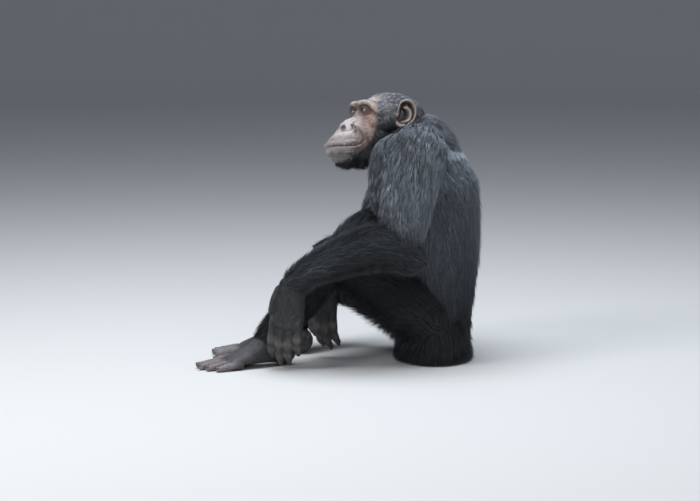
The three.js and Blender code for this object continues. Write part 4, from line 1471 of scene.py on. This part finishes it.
def growHead():
    spots, normals = surfaceSpots(head, headPoints, hairShare(headPoints), headHair["count"])
    ear = np.array(earForm["at"]) * (0, 1, 1)
    away = np.linalg.norm(np.abs(spots) * (1, 1, 0) + spots * (0, 0, 1) - ear, axis=1) > 9
    spots, normals = spots[away], normals[away]
    x, y, z = spots.T
    count = len(spots)
    low = step(-z, -20, 10)
    length = randoms(count, *headHair["crown"]) * (1 - low) + randoms(count, *headHair["cheek"]) * low
    length = np.where(z < -78, randoms(count, *headHair["beard"]), length)
    inFront = np.interp(z, hairEdge["z"], hairEdge["x"]) - x
    length = length * (0.35 + 0.65 * step(inFront, -4, 26)) * np.where(x < -40, 1.5, 1.0)
    lift = randoms(count, 0.8, 3.5) + 3.0 * low + 8.0 * step(-z, 60, 100)
    # Greyer towards the crown, partly grey hair with the scalp showing through and partly painted sky light,
    # and much darker under the jaw, painted shade on the black beard
    tint = between(headHair["dark"], headHair["grey"], step(z, -30, 30) * randoms(count, 0.3, 1.0))
    tint = tint * (1 - 0.88 * step(-z, 20, 66))[:, None]
    width = headHair["width"] * randoms(count, 0.65, 1.1)
    tufts = headTufts(spots, normals, length, width, lift, tint, 3.0)
    return makeCoat("coatHead", [tufts], [((0.01, 0.67), (0.48, 0.32))])


growHead()

# Sparse hairs: pale ones on the lips and chin, dark ones on the brow and the sides of the face

faceHair = {
    "pale": {"count": 4200, "length": (6, 13), "width": 0.4, "lift": (1, 5)},
    "dark": {"count": 1500, "length": (5, 11), "width": 0.32, "lift": (0.5, 2.0)},
}


def hairsWhere(share, kind, seed):
    spec = faceHair[kind]
    count = spec["count"]
    spots, normals = surfaceSpots(head, headPoints, np.clip(share, 0, 1), count)
    tint = np.tile(np.array(headHair[kind]), (count, 1))
    lengths, widths = randoms(count, *spec["length"]), np.full(count, spec["width"])
    return headTufts(spots, normals, lengths, widths, randoms(count, *spec["lift"]), tint, seed)


def growFace():
    x, y, z = headPoints.T
    chin = step(-z, 74, 84) * step(x, 96, 116) + 0.12 * step(x, 118, 140) * step(-z, 34, 44)
    pale = hairsWhere(chin * (1 - bothSides(headPoints, lipLine, 4.0)), "pale", 5.0)
    bare = (1 - hairShare(headPoints)) * (step(z, 30, 40) + 0.4 * step(72 - x, -10, 14) + 0.06)
    bare = bare * (1 - 0.95 * bothSides(headPoints, [headForm["eye"], (92, 25, 10)], 16.0))
    dark = hairsWhere(bare * step(118 - x, 0, 12), "dark", 7.0)
    return makeCoat("faceHairs", [pale, dark], [((0.5, 0.67), (0.23, 0.32)), ((0.74, 0.67), (0.23, 0.32))])


growFace()
print("coat made")

# A wide floor that curves up all round, and light from a bright sky above

stageLook = {"floor": (0.5, 0.495, 0.485), "world": (0.72, 0.8, 0.95), "strength": 0.32}
sweep = {"flat": 9.0, "bend": 4.0, "rise": 8.0, "around": 96}
lampAim = (-0.15, 0, 0.3)


def makeStage():
    angle, flat, bend = np.linspace(0, np.pi / 2, 20), sweep["flat"], sweep["bend"]
    reach = np.concatenate([[0.01], flat + bend * np.sin(angle), [flat + bend]])
    rise = np.concatenate([[0.0], bend * (1 - np.cos(angle)), [sweep["rise"]]])
    turn = fullTurn(sweep["around"])
    circle = np.stack([np.cos(turn), np.sin(turn), 0 * turn], 1)
    points = reach[:, None, None] * circle[None] + rise[:, None, None] * (0, 0, 1)
    floor = makeObject("floor", points.reshape(-1, 3), gridFaces(len(reach), sweep["around"]))
    nodes = Nodes("paleFloor")
    nodes.shader.inputs["Base Color"].default_value = (*stageLook["floor"], 1)
    nodes.set(Roughness=0.9)
    floor.data.materials.append(nodes.material)
    world = bpy.data.worlds.new("paleWorld")
    world.use_nodes = True
    sky = world.node_tree.nodes["Background"].inputs
    sky["Color"].default_value = (*stageLook["world"], 1)
    sky["Strength"].default_value = stageLook["strength"]
    bpy.context.scene.world = world


lamps = {
    "sky": {"at": (-0.3, -0.2, 3.4), "size": 3.2, "power": 190, "colour": (0.86, 0.93, 1.0)},
    "key": {"at": (-2.4, -1.9, 2.3), "size": 1.2, "power": 60, "colour": (1.0, 0.98, 0.95)},
    "fill": {"at": (0.8, -4.4, 1.4), "size": 2.4, "power": 45, "colour": (0.95, 0.97, 1.0)},
}


def makeLamps():
    for name, lamp in lamps.items():
        data = bpy.data.lights.new(name, "AREA")
        data.energy = lamp["power"]
        data.size = lamp["size"]
        data.color = lamp["colour"]
        made = bpy.data.objects.new(name, data)
        made.location = lamp["at"]
        aim = Vector(lampAim) - made.location
        made.rotation_euler = aim.to_track_quat("-Z", "Y").to_euler()
        bpy.context.collection.objects.link(made)


makeStage()
makeLamps()
bpy.context.scene.view_settings.view_transform = "Standard"
